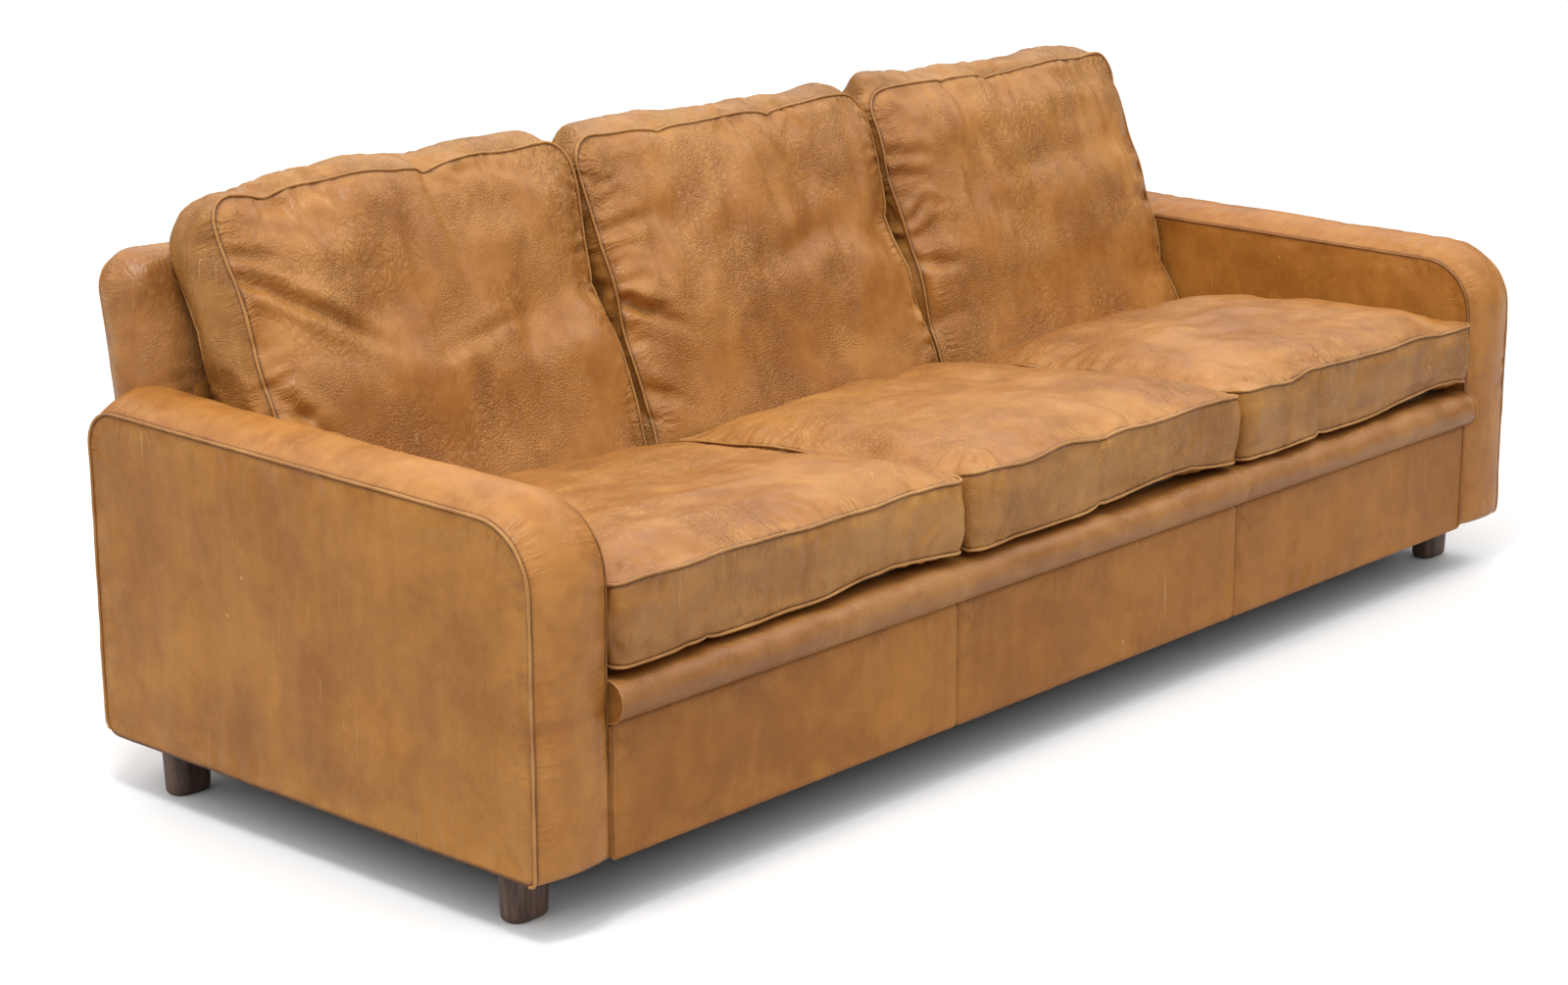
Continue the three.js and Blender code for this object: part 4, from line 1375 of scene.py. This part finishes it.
@dataclass
class SeatFront:
    """The apron's three panels below the seat and the stuffed roll along its top."""

    nose: float = 29 * MM
    panel_crown: float = 1.6 * MM
    edge: float = 0.8 * MM
    roll_inset: float = 5 * MM
    roll_gap: float = 7 * MM
    strip: float = 15 * MM
    strip_paleness: float = 0.45
    end_welt: Welt = Welt(1.7 * MM, 0.0)
    end_steps: int = 30
    end_sway: float = 0.5 * MM
    end_turns: float = 38.0
    cap_welt: Welt = Welt(1.3 * MM, 0.1)

    def build(self, finishes: Finishes) -> None:
        """Builds the panels, the roll and their piping."""
        for number, place in enumerate(Place):
            self._panel(place, number, finishes)
        self._roll(finishes)
        self._end_welts(finishes)

    def _panel(self, place: Place, number: int, finishes: Finishes) -> None:
        """One apron panel: a thin, slightly crowned skin with turned edges."""
        node = f"apron_panel_{place.value}"
        facing = leaning(0.0)
        low, high = facing.span(node)
        skin = 3.5 * MM
        close = 0.3 * MM
        corners = rectangle(low[0] - close, high[0] + close, low[1], high[1])
        outline = Outline(corners, (self.edge,) * 4)
        form = BoxedForm(facing, outline, outline, high[2] - skin, skin, cell=0.008, band_rows=3,
                         high_crown=self.panel_crown, crown_reach=0.018, bulge=(0.2 * MM,) * 4,
                         seed=50 + number)
        piece = SewnPiece.make(node.replace("apron_panel", "apron"), form, finishes.apron)
        subdivide(piece.object)
        self._pale_strip(piece.object, [] if place is Place.RIGHT else [high[0]])
        piece.relief([], 0.35 * MM, 0.8 * MM, 60 + number, front_only=True)
        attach(piece.object, "sofa_base")
        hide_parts(node)
        LOG.info("built %s", piece.name)

    def _pale_strip(self, piece: bpy.types.Object, joins: list[float]) -> None:
        """Marks a paler strip to the left of each join, from 0 to 1."""
        points = vertex_points(piece.data)
        strip = np.zeros(len(points))
        for join in joins:
            left = join - points[:, 0]
            faded = smooth_step(left, self.strip, self.strip + 6 * MM)
            strip += smooth_step(left, -1 * MM, 1 * MM) * (1.0 - faded)
        give_values(piece.data, "strip", self.strip_paleness * strip)

    def _roll(self, finishes: Finishes) -> None:
        """The roll: a D-shaped cap at each end of a very long band, drawn in a little at its two joins."""
        low, high = SIDEWAYS.span("front_roll")
        corners = rectangle(low[0] + self.roll_inset, high[0], low[1], high[1] - self.roll_gap)
        nose = self.nose - 0.5 * self.roll_gap
        outline = Outline(corners, (nose, 3 * MM, 3 * MM, nose))
        form = BoxedForm(SIDEWAYS, outline, outline, low[2], high[2] - low[2], cell=0.0055, band_rows=260,
                         low_crown=1.5 * MM, high_crown=1.5 * MM, crown_reach=0.01)
        piece = SewnPiece.make("front_roll_cover", form, finishes.roll)
        piece.crease_seams(0.7)
        subdivide(piece.object)
        mesh = piece.object.data
        points = vertex_points(mesh)
        sixth = (high[2] - low[2]) / 6.0
        away = np.abs(np.abs(points[:, 0]) - sixth)
        front = smooth_step(-points[:, 1], -high[0], -low[0] - 0.025)
        front = front * smooth_step(points[:, 2] - low[1], 0.0, 0.03)
        lumps = 1.3 * MM * ripple(points, 0.16, 71) + 0.7 * MM * ripple(points, 0.05, 72)
        join = -1.6 * MM * np.exp(-((away / 0.005) ** 2))
        piece.displace(front * (lumps + join) - 0.2 * MM)
        self._pale_strip(piece.object, [-sixth, sixth])
        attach(piece.object, "sofa_base")
        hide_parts("front_roll")
        for welt in sew_welts(piece, self.cap_welt, finishes.welt, words=("left", "right")):
            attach(welt, "sofa_base")
        LOG.info("built %s", piece.name)

    def _end_welts(self, finishes: Finishes) -> None:
        """An upright welt where the apron meets each arm."""
        for side in Side:
            node = "apron_panel_left" if side is Side.LEFT else "apron_panel_right"
            low, high = UPRIGHT.span(node)
            x = low[0] if side is Side.LEFT else high[0]
            height = np.linspace(low[2] + 4 * MM, high[2] - 2 * MM, self.end_steps)
            line = np.full((self.end_steps, 3), (x - side.value * 3.2 * MM, low[1] - 0.6 * MM, 0.0))
            line[:, 2] = height
            line[:, 0] += self.end_sway * np.sin(height * self.end_turns)
            out = np.full((self.end_steps, 3), (0.0, -1.0, 0.0))
            name = f"apron_end_welt_{side.word}"
            welt = self.end_welt.sweep(name, line, out, finishes.cover_welt, closed=False)
            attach(welt, "sofa_base")


@dataclass
class SeatDeck:
    """The padded platform that the seat cushions lie on, seen once they are lifted."""

    slope: float = math.radians(4.5)
    cell: float = 0.02
    crown: float = 1.5 * MM

    def build(self, finishes: Finishes) -> None:
        """Builds the deck as a shallow pad that stands for the foam and the cloth over it."""
        axes = lying(self.slope)
        low, high = axes.span("deck_cloth")
        bottom = axes.span("deck_padding")[0][2]
        corners = rectangle(low[0], high[0], low[1], high[1])
        outline = Outline(corners, (4 * MM,) * 4)
        thickness = high[2] - bottom - self.crown
        form = BoxedForm(axes, outline, outline, bottom, thickness, cell=self.cell, band_rows=4,
                         high_crown=self.crown, crown_reach=0.04)
        piece = SewnPiece.make("deck_cover", form, finishes.deck)
        subdivide(piece.object)
        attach(piece.object, "sofa_base")
        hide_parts("deck_cloth", "deck_padding")
        LOG.info("built %s", piece.name)


@dataclass
class BackPanel:
    """The fixed back: a wing over the rear of the arms, and the body between them."""

    lean: float = math.radians(9)
    thickness: float = 66 * MM
    corner: float = 50 * MM
    foot_depth: float = 48 * MM
    rear_draw: float = 8 * MM
    front_draw: float = 20 * MM
    swell: float = 12 * MM
    lap: float = 4 * MM
    seat_drop: float = 16 * MM
    sag: float = 2.0 * MM
    welt: Welt = Welt(2.0 * MM, 0.2)

    def build(self, finishes: Finishes, wing_floor: float) -> None:
        """Builds both forms.

        Args:
            finishes: the sofa's finishes.
            wing_floor: the height at which the wing stands on the arms.
        """
        axes = leaning(self.lean)
        low, high = axes.span("back_leather")
        cos = math.cos(self.lean)
        front = high[2]
        rear = front - self.thickness
        wing_low = wing_floor / cos + rear * math.tan(self.lean)
        corners = rectangle(low[0], high[0], wing_low, high[1])
        self._wing(axes, corners, rear, finishes)
        self._body(high, wing_floor, finishes)

    def _wing(self, axes: Axes, corners: list[tuple[float, float]], rear: float, finishes: Finishes) -> None:
        """The wing: its front edge is drawn in as a bullnose, and its rear edge stays crisp with a seam."""
        def drawn_in(inset: float) -> list[tuple[float, float]]:
            """The wing's corners drawn in at both ends and at the top."""
            return [(a + inset * (1 if a < 0 else -1), b + (0.0 if number < 2 else -inset))
                    for number, (a, b) in enumerate(corners)]

        radii = (10 * MM, 10 * MM, 0.86 * self.corner, 0.86 * self.corner)
        rings = (Outline(drawn_in(self.rear_draw), radii), Outline(drawn_in(self.front_draw), radii))
        crown = 8 * MM
        form = BoxedForm(axes, *rings, rear, self.thickness - crown, cell=0.011, low_crown=2 * MM,
                         high_crown=crown, crown_reach=0.02, bulge=(self.swell, self.swell, self.swell, 0.0),
                         wave=0.5 * MM, seed=81, low_seam_only=True)
        piece = SewnPiece.make("back_wing", form, finishes.back)
        subdivide(piece.object)
        piece.relief([], 0.8 * MM, 1.5 * MM, 82, drag=(6.0, 6.0, 0.5))
        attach(piece.object, "sofa_base")
        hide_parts("back_leather", "back_padding")
        for welt in sew_welts(piece, self.welt, finishes.welt, ("low",), ("rear", "front")):
            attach(welt, "sofa_base")
        LOG.info("built %s", piece.name)

    def _body(self, high: Array, wing_floor: float, finishes: Finishes) -> None:
        """The body between the arms: upright behind, and leaning in front like the wing above it."""
        neck = UPRIGHT.span("front_roll")[1][0]
        floor = UPRIGHT.span("back_leather")[0][2]
        rear = UPRIGHT.span("back_leather")[1][1]
        upright = leaning(0.0)
        top = wing_floor + self.lap
        face = high[2] / math.cos(self.lean)
        front_at_top = -top * math.tan(self.lean) + face
        seat = UPRIGHT.span("deck_cloth")[0][2] - self.seat_drop
        front_at_seat = -seat * math.tan(self.lean) + face
        corners = rectangle(-neck, neck, floor, top)
        outline = Outline(corners, (4 * MM,) * 4)
        form = BoxedForm(upright, outline, outline, 0.0, 1.0, cell=0.02, band_rows=4)
        grid = form.grid()
        share = grid.points[:, 2].copy()
        height = grid.points[:, 1]
        leant = front_at_top + (front_at_seat - front_at_top) * (top - height) / (top - seat)
        below = np.clip((seat - height) / (seat - floor), 0.0, 1.0)
        leant = leant + below * (-rear + self.foot_depth - leant)
        grid.points[:, 2] = -rear + share * (leant + rear)
        inside = np.minimum(height - floor, top - height)
        grid.points[:, 2] -= (share < 0.01) * self.sag * (1.0 - np.exp(-np.maximum(inside, 0.0) / 0.05))
        piece = make_piece("back_body", upright.world(grid.points), grid.faces, finishes.cover)
        give_values(piece.data, "seam", grid.seam)
        subdivide(piece)
        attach(piece, "sofa_base")
        LOG.info("built %s", piece.name)


@dataclass
class LooseCushion:
    """A piped box cushion: two faces, boxing between them, and a welt in each seam."""

    place: Place
    seed: int = 1
    folds: Sequence[Fold] = ()
    low_kinks: Sequence[Kink] = ()
    high_kinks: Sequence[Kink] = ()
    corner: float = 38 * MM
    spread: float = 2.0 * MM
    cap: float = 12 * MM
    welt: Welt = Welt(2.1 * MM, 0.35)
    drag: tuple[float, float, float] = (1.0, 1.0, 1.0)
    pucker: float = 1.2 * MM
    soft: float = 1.8 * MM
    kind: str = "cushion"
    piece: SewnPiece | None = None
    limits: tuple[Array, Array] | None = None

    @property
    def name(self) -> str:
        """The cushion's own name, which is its body's too."""
        return f"{self.kind}_{self.place.value}"

    def form(self) -> BoxedForm:
        """The cushion's form on its CAD cover."""
        raise NotImplementedError

    def hold(self, points: Array) -> Array:
        """Keeps local places clear of what the cushion touches."""
        raise NotImplementedError

    def start(self, finishes: Finishes, stuffing: Stuffing) -> None:
        """Cuts the cover and queues its filling."""
        self.piece = SewnPiece.make(self.name, self.form(), finishes.cushion)
        stuffing.add(self.piece, self.cap)

    def finish(self, finishes: Finishes) -> None:
        """Subdivides the filled cover, adds folds, holds it clear of its neighbours and sews the welts."""
        piece = self.piece
        piece.crease_seams(0.75)
        subdivide(piece.object)
        piece.relief(self.folds, self.pucker, self.soft, self.seed + 11, drag=self.drag)
        mesh = piece.object.data
        local = self.hold(piece.form.axes.local(vertex_points(mesh)))
        move_vertices(mesh, piece.form.axes.world(local))
        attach(piece.object, self.name)
        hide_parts(f"{self.name}_cover", f"{self.name}_filling")
        for welt in sew_welts(piece, self.welt, finishes.welt):
            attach(welt, self.name)
        LOG.info("built %s", self.name)


# The first seat join: where it is across, and how far, how widely and how deep it has worked sideways.
SETTLED_JOIN = -311 * MM
SETTLED_SHIFT = 15 * MM
SETTLED_WIDTH = 0.15
SETTLED_DEPTH = 0.38


def sideways_settling(across: Array, depth: Array) -> Array:
    """How far the seat has worked sideways near the front.

    The first join's front end stands to the right of its third: a bell curve across, fading behind. Both
    cushions at the join move by the same smooth amount, so they stay clear of each other.
    """
    bell = np.exp(-(((across - SETTLED_JOIN) / SETTLED_WIDTH) ** 2))
    return SETTLED_SHIFT * bell * (1.0 - smooth_step(depth, 0.0, SETTLED_DEPTH))


@dataclass
class SeatCushion(LooseCushion):
    """A seat cushion, lying on the deck. Its rear face slants like the back cushion that it meets."""

    kind: str = "seat_cushion"
    drag: tuple[float, float, float] = (6.0, 1.0, 1.0)
    front_corner: float = 20 * MM
    slope: float = math.radians(4.5)
    rear_slant: float = math.radians(16.5)
    crown: float = 28 * MM
    boxing: float = 100 * MM

    def form(self) -> BoxedForm:
        """The form: its low outline is shorter than its high one by the slant of the rear face."""
        axes = lying(self.slope)
        low, high = axes.span(f"{self.name}_cover")
        self.limits = (low, high)
        inset = 1.5 * MM
        slant = self.boxing * math.tan(self.rear_slant)
        ends = (low[0] + inset, high[0] - inset)
        high_plan = rectangle(*ends, low[1] + inset, high[1] - inset)
        low_plan = rectangle(*ends, low[1] + inset + 7 * MM, high[1] - inset - slant)
        radii = (self.front_corner, self.front_corner, 0.8 * self.corner, 0.8 * self.corner)
        return BoxedForm(axes, Outline(low_plan, radii), Outline(high_plan, radii), low[2] + 1 * MM,
                         self.boxing - 2 * MM, cell=0.0095, high_crown=self.crown,
                         crown_reach=0.06, bulge=(3 * MM, 3 * MM, 4 * MM, 8 * MM), low_kinks=self.low_kinks,
                         high_kinks=self.high_kinks, wave=1.6 * MM, seed=self.seed)

    def hold(self, points: Array) -> Array:
        """Keeps the cushion on the deck, between its neighbours and in front of the back cushion."""
        low, high = self.limits
        held = points.copy()
        held[:, 0] = np.clip(held[:, 0], low[0] - self.spread, high[0] + self.spread)
        height = held[:, 2] - low[2]
        slant = math.tan(self.rear_slant)
        rear = np.maximum(high[1] - (self.boxing - height) * slant, high[1] - self.boxing * slant)
        held[:, 1] = np.minimum(held[:, 1], rear)
        held[:, 2] = np.maximum(held[:, 2], low[2])
        held[:, 0] += sideways_settling(held[:, 0], held[:, 1] - low[1])
        return held


@dataclass
class BackCushion(LooseCushion):
    """A back cushion, leaning on the back panel with its lower edge on the deck."""

    kind: str = "back_cushion"
    spread: float = 2.6 * MM
    drag: tuple[float, float, float] = (1.0, 2.0, 6.0)
    lean: float = math.radians(21)
    crown: float = 25 * MM
    boxing: float = 102 * MM
    nip: float = 18 * MM
    nip_height: float = 118 * MM
    free_side: Side | None = None
    free_spread: float = 27 * MM
    rear_corner: float = 54 * MM
    growth: float = 0.04
    free_height: float = 270 * MM
    pucker: float = 2.4 * MM
    soft: float = 3.0 * MM

    def form(self) -> BoxedForm:
        """The form: standing on its low edge, with the crowned face to the front."""
        axes = leaning(self.lean)
        low, high = axes.span(f"{self.name}_cover")
        self.limits = (low, high)
        inset, touch = 2.0 * MM, 1.0 * MM
        plan = rectangle(low[0] - touch, high[0] + touch, low[1] + inset, high[1] - inset)
        high_outline = Outline(plan, (self.corner,) * 4)
        low_outline = Outline(plan, (self.corner, self.corner, self.rear_corner, self.rear_corner))
        near = self.free_spread if self.free_side is Side.LEFT else 3 * MM
        far = self.free_spread if self.free_side is Side.RIGHT else 3 * MM
        return BoxedForm(axes, low_outline, high_outline, low[2] + 1 * MM, self.boxing - 2 * MM, cell=0.0095,
                         high_crown=self.crown, crown_reach=0.06, bulge=(near, far, 37 * MM, 2 * MM),
                         bulge_focus=1.3, bulge_growth=self.growth, low_kinks=self.low_kinks,
                         high_kinks=self.high_kinks, wave=2.0 * MM, seed=self.seed)

    def hold(self, points: Array) -> Array:
        """Keeps the cushion on the deck, between its neighbours, off the back panel and behind the seat."""
        low, high = self.limits
        held = points.copy()
        height = held[:, 1] - low[1]
        over_arm = smooth_step(height, self.free_height, self.free_height + 0.1)
        over_arm = (self.free_spread - self.spread) * over_arm
        left = self.spread + over_arm * (self.free_side is Side.LEFT)
        right = self.spread + over_arm * (self.free_side is Side.RIGHT)
        held[:, 0] = np.clip(held[:, 0], low[0] - left, high[0] + right)
        held[:, 1] = np.maximum(held[:, 1], low[1])
        above = smooth_step(height, self.nip_height, self.nip_height + 0.2)
        front = low[2] + self.boxing + self.nip + above * 0.03
        soft = 5 * MM
        held[:, 2] = front - soft * np.logaddexp(0.0, (front - held[:, 2]) / soft)
        held[:, 2] = np.maximum(held[:, 2], low[2])
        return held


@dataclass
class Foot:
    """A flattened oval foot of dark stained wood, tapering down to a softened edge."""

    node: str
    taper: float = 3 * MM
    edge: float = 6 * MM

    def build(self, finishes: Finishes) -> None:
        """Builds the foot, whose outline shrinks by the taper, and by a quarter round at the floor."""
        low, high = UPRIGHT.span(self.node)
        half = (high[1] - low[1]) / 2
        outline = Outline(rectangle(low[0], high[0], low[1], high[1]), (half - 1 * MM,) * 4)
        form = BoxedForm(UPRIGHT, outline, outline, low[2], high[2] - low[2], cell=0.004, band_rows=22)
        grid = form.grid()
        centre = (low + high)[:2] / 2
        height = grid.points[:, 2] - low[2]
        inset = self.taper * (1.0 - height / (high[2] - low[2]))
        round_off = np.clip(1.0 - height / self.edge, 0.0, 1.0)
        inset = inset + self.edge * (1.0 - np.sqrt(1.0 - round_off ** 2)) * 0.8
        shrink = 1.0 - inset[:, None] / np.array([(high[0] - low[0]) / 2, half])
        grid.points[:, :2] = centre + (grid.points[:, :2] - centre) * shrink
        piece = make_piece(f"{self.node}_turned", grid.points, grid.faces, finishes.foot)
        subdivide(piece)
        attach(piece, "sofa_base")
        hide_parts(self.node)
        LOG.info("built %s", piece.name)


def dress_frame(nodes: dict[str, bpy.types.Object], finishes: Finishes) -> None:
    """Gives every CAD node its finish by the kind of part that its name says. Its shape stays.

    Args:
        nodes: the CAD nodes by name.
        finishes: the sofa's finishes.
    """
    kinds = (
        (("_bolt_",), finishes.steel),
        (("webbing",), finishes.webbing),
        (("dust_cloth",), finishes.dust),
        (("deck_cloth",), finishes.deck),
        (("padding", "filling"), finishes.foam),
        (("foot_",), finishes.foot),
        (("rail", "post", "brace", "upright"), finishes.frame),
        (("",), finishes.cover),
    )
    for name, node in nodes.items():
        finish = next(material for words, material in kinds if any(word in name for word in words))
        for slot in node.material_slots:
            slot.material = finish
    LOG.info("dressed %d frame nodes", len(nodes))


# ---------------------------------------------------------------- studio


@dataclass(frozen=True)
class Softbox:
    """A soft area light: where it hangs, what it faces, its size and its power."""

    name: str
    place: tuple[float, float, float]
    target: tuple[float, float, float]
    size: tuple[float, float]
    watts: float

    def hang(self) -> None:
        """Adds the light to the scene."""
        light = bpy.data.lights.new(self.name, "AREA")
        light.shape = "RECTANGLE"
        light.size, light.size_y = self.size
        light.energy = self.watts
        lamp = bpy.data.objects.new(self.name, light)
        lamp.location = self.place
        facing = Vector(self.target) - Vector(self.place)
        lamp.rotation_euler = facing.to_track_quat("-Z", "Y").to_euler()
        bpy.context.scene.collection.objects.link(lamp)


@dataclass(frozen=True)
class Studio:
    """A pale floor, soft lights and the camera."""

    eye: tuple[float, float, float] = (-3.3152, -2.8292, 1.428)
    heading: float = math.radians(42.29)
    dip: float = math.radians(14.774)
    roll: float = math.radians(-0.26)
    lens: float = 72.87
    shift: tuple[float, float] = (0.0040, -0.0132)
    floor_half: float = 16.0
    glow: float = 0.08

    def build(self) -> None:
        """Builds the floor, the lights, the surrounding light and the camera."""
        self._floor()
        for softbox in (
            Softbox("ceiling", (0.0, 0.0, 9.0), (0.0, 0.0, 0.0), (40.0, 40.0), 6900.0),
            Softbox("softbox_key", (-2.1, -0.8, 5.0), (0.0, 0.0, 0.4), (1.0, 1.0), 105.0),
            Softbox("softbox_front", (0.4, -5.2, 2.6), (0.0, 0.0, 0.4), (0.5, 1.6), 12.0),
            Softbox("softbox_right", (2.7, -1.8, 4.2), (-1.0, -0.4, 0.5), (0.6, 0.6), 22.0),
            Softbox("softbox_left", (-4.8, 0.0, 1.9), (0.0, 0.0, 0.5), (0.6, 2.0), 14.0),
        ):
            softbox.hang()
        self._surrounding_light()
        self._camera()

    def _floor(self) -> None:
        """A wide pale floor with a faintly uneven finish, which throws back less light than it shows."""
        plan = rectangle(-self.floor_half, self.floor_half, -self.floor_half, self.floor_half)
        corners = np.array([(x, y, 0.0) for x, y in plan])
        start = MaterialStart.named("studio_floor")
        desk, shader, place = start.desk, start.shader, start.place
        cloud = desk.noise(place, 1.5, 3.0)
        seen = desk.place("ShaderNodeLightPath").outputs["Is Camera Ray"]
        paper = desk.blend(cloud, (0.87, 0.87, 0.87), (0.89, 0.89, 0.89))
        desk.feed(shader.inputs["Base Color"], desk.blend(seen, (0.56, 0.56, 0.56), paper))
        desk.feed(shader.inputs["Roughness"], desk.maths("MULTIPLY_ADD", cloud, 0.1, 0.6))
        floor = make_piece("studio_floor", corners, np.array([[0, 1, 2, 3]]), start.material)

    def _surrounding_light(self) -> None:
        """An even white surrounding that lights the sofa only faintly."""
        world = bpy.data.worlds.new("studio_light")
        world.use_nodes = True
        desk = NodeDesk(world.node_tree)
        background = desk.place("ShaderNodeBackground")
        seen = desk.place("ShaderNodeLightPath").outputs["Is Camera Ray"]
        desk.feed(background.inputs["Strength"], desk.maths("MULTIPLY_ADD", seen, 1.0 - self.glow, self.glow))
        background.inputs["Color"].default_value = (1.0, 1.0, 1.0, 1.0)
        desk.feed(desk.place("ShaderNodeOutputWorld").inputs["Surface"], background.outputs[0])
        bpy.context.scene.world = world

    def _camera(self) -> None:
        """A long lens looking down a little at the sofa's front left corner."""
        level = math.cos(self.dip)
        ahead, aside = math.cos(self.heading) * level, math.sin(self.heading) * level
        forward = Vector((ahead, aside, -math.sin(self.dip)))
        right = forward.cross(Vector((0, 0, 1))).normalized()
        up = right.cross(forward)
        turned_right = right * math.cos(self.roll) + up * math.sin(self.roll)
        turned_up = up * math.cos(self.roll) - right * math.sin(self.roll)
        lens = bpy.data.cameras.new("studio_camera")
        lens.lens = self.lens
        lens.sensor_width = 36.0
        lens.shift_x, lens.shift_y = self.shift
        camera = bpy.data.objects.new("studio_camera", lens)
        rotation = Matrix((turned_right, turned_up, -forward)).transposed()
        camera.matrix_world = Matrix.Translation(self.eye) @ rotation.to_4x4()
        bpy.context.scene.collection.objects.link(camera)
        bpy.context.scene.camera = camera
        bpy.context.scene.view_settings.view_transform = "Standard"


# ---------------------------------------------------------------- the whole sofa


SEAT_CUSHIONS = (
    SeatCushion(
        Place.LEFT, seed=101,
        low_kinks=(Kink(Edge.LOW, 0.8, 12 * MM, 0.12), Kink(Edge.LOW, 0.12, -1 * MM, 0.05)),
        high_kinks=(Kink(Edge.LOW, 0.55, -3 * MM, 0.05), Kink(Edge.LOW, 0.93, 4 * MM, 0.03),
                    Kink(Edge.FAR, 0.75, -9 * MM, 0.16)),
        folds=(Fold((-0.7, -0.5), (0.3, -0.65), 2.5 * MM, 0.02),
               Fold((-0.2, 0.1), (0.8, -0.1), 2.5 * MM, 0.022)),
    ),
    SeatCushion(
        Place.MIDDLE, seed=121,
        low_kinks=(Kink(Edge.LOW, 0.75, 14 * MM, 0.13),),
        high_kinks=(Kink(Edge.LOW, 0.3, 3 * MM, 0.04), Kink(Edge.LOW, 0.62, -4 * MM, 0.04),
                    Kink(Edge.NEAR, 0.3, 11 * MM, 0.13), Kink(Edge.FAR, 0.75, -8 * MM, 0.16)),
        folds=(Fold((-0.6, -0.3), (0.5, -0.5), 2.5 * MM, 0.02),
               Fold((-0.5, 0.3), (0.6, 0.05), 2.5 * MM, 0.024)),
    ),
    SeatCushion(
        Place.RIGHT, seed=141,
        low_kinks=(Kink(Edge.LOW, 0.85, 16 * MM, 0.14),),
        high_kinks=(Kink(Edge.LOW, 0.2, -3 * MM, 0.04), Kink(Edge.LOW, 0.26, 4 * MM, 0.02),
                    Kink(Edge.NEAR, 0.3, 11 * MM, 0.13)),
        folds=(Fold((-0.6, 0.1), (0.6, -0.2), 3 * MM, 0.02),
               Fold((-0.3, -0.4), (0.8, -0.5), 2 * MM, 0.02)),
    ),
)

BACK_CUSHIONS = (
    BackCushion(
        Place.LEFT, seed=201, free_side=Side.LEFT, growth=0.16,
        high_kinks=(Kink(Edge.HIGH, 0.86, -7 * MM, 0.022, -5 * MM),
                    Kink(Edge.HIGH, 0.62, 4 * MM, 0.06, 3 * MM),
                    Kink(Edge.HIGH, 0.42, -5 * MM, 0.02, -4 * MM), Kink(Edge.FAR, 0.62, -12 * MM, 0.12)),
        folds=(
            Fold((-1.1, 0.68), (-0.25, -0.02), 10 * MM, 0.009),
            Fold((-1.05, 0.72), (-0.72, 0.6), 5 * MM, 0.008),
            Fold((-1.05, 0.06), (-0.5, -0.7), 9 * MM, 0.011),
            Fold((-1.0, -0.5), (-0.7, -0.95), 5 * MM, 0.009),
            Fold((0.1, 0.95), (0.2, 0.1), 4 * MM, 0.012),
            Fold((-0.15, 0.8), (-0.02, -0.6), 3 * MM, 0.012),
            Fold((0.5, 0.3), (0.35, -0.8), 6 * MM, 0.022),
            Fold((-0.2, -0.05), (0.6, 0.15), 3 * MM, 0.010),
        ),
    ),
    BackCushion(
        Place.MIDDLE, seed=221,
        high_kinks=(Kink(Edge.HIGH, 0.75, -5 * MM, 0.03, -3 * MM),
                    Kink(Edge.HIGH, 0.35, -4 * MM, 0.025, -4 * MM), Kink(Edge.FAR, 0.6, -11 * MM, 0.12)),
        folds=(
            Fold((-1.08, 0.45), (-0.6, 0.5), 5 * MM, 0.009),
            Fold((-1.08, 0.12), (-0.5, -0.3), 8 * MM, 0.010),
            Fold((-1.05, -0.4), (-0.45, -0.75), 6 * MM, 0.010),
            Fold((0.15, 0.85), (0.35, 0.35), 4 * MM, 0.008),
            Fold((0.05, 0.9), (0.12, 0.2), 3.5 * MM, 0.009),
            Fold((0.0, 0.1), (0.45, 0.25), 7 * MM, 0.022),
            Fold((0.5, 0.4), (0.25, -0.7), 5 * MM, 0.024),
        ),
    ),
    BackCushion(
        Place.RIGHT, seed=241, free_side=Side.RIGHT, free_spread=7 * MM,
        high_kinks=(Kink(Edge.HIGH, 0.55, -6 * MM, 0.02), Kink(Edge.HIGH, 0.3, 4 * MM, 0.04)),
        folds=(
            Fold((-1.08, 0.62), (-0.7, 0.52), 6 * MM, 0.009),
            Fold((-1.08, -0.05), (-0.65, -0.2), 7 * MM, 0.010),
            Fold((-0.45, 0.85), (-0.1, 0.0), 4.5 * MM, 0.014),
            Fold((0.1, 0.1), (0.15, -0.7), 5 * MM, 0.013),
            Fold((0.3, 0.9), (0.3, 0.2), 4 * MM, 0.013),
            Fold((-0.2, 0.35), (0.5, 0.45), 4 * MM, 0.02),
        ),
    ),
)


def main() -> None:
    """Builds the sofa and the studio in order."""
    logging.basicConfig(level=logging.INFO, format="%(name)s: %(message)s")
    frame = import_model()
    Studio().build()
    finishes = Finishes()
    dress_frame(frame["nodes"], finishes)
    for side in Side:
        Arm(side).build(finishes)
    SeatFront().build(finishes)
    SeatDeck().build(finishes)
    arm_top = UPRIGHT.span("arm_leather_left")[1][2]
    BackPanel().build(finishes, arm_top + 1 * MM)
    stuffing = Stuffing()
    cushions = (*SEAT_CUSHIONS, *BACK_CUSHIONS)
    for cushion in cushions:
        cushion.start(finishes, stuffing)
    stuffing.run()
    for cushion in cushions:
        cushion.finish(finishes)
    for node in frame["nodes"]:
        if node.startswith("foot_") and "bolt" not in node:
            Foot(node).build(finishes)


if __name__ == "__main__":
    main()
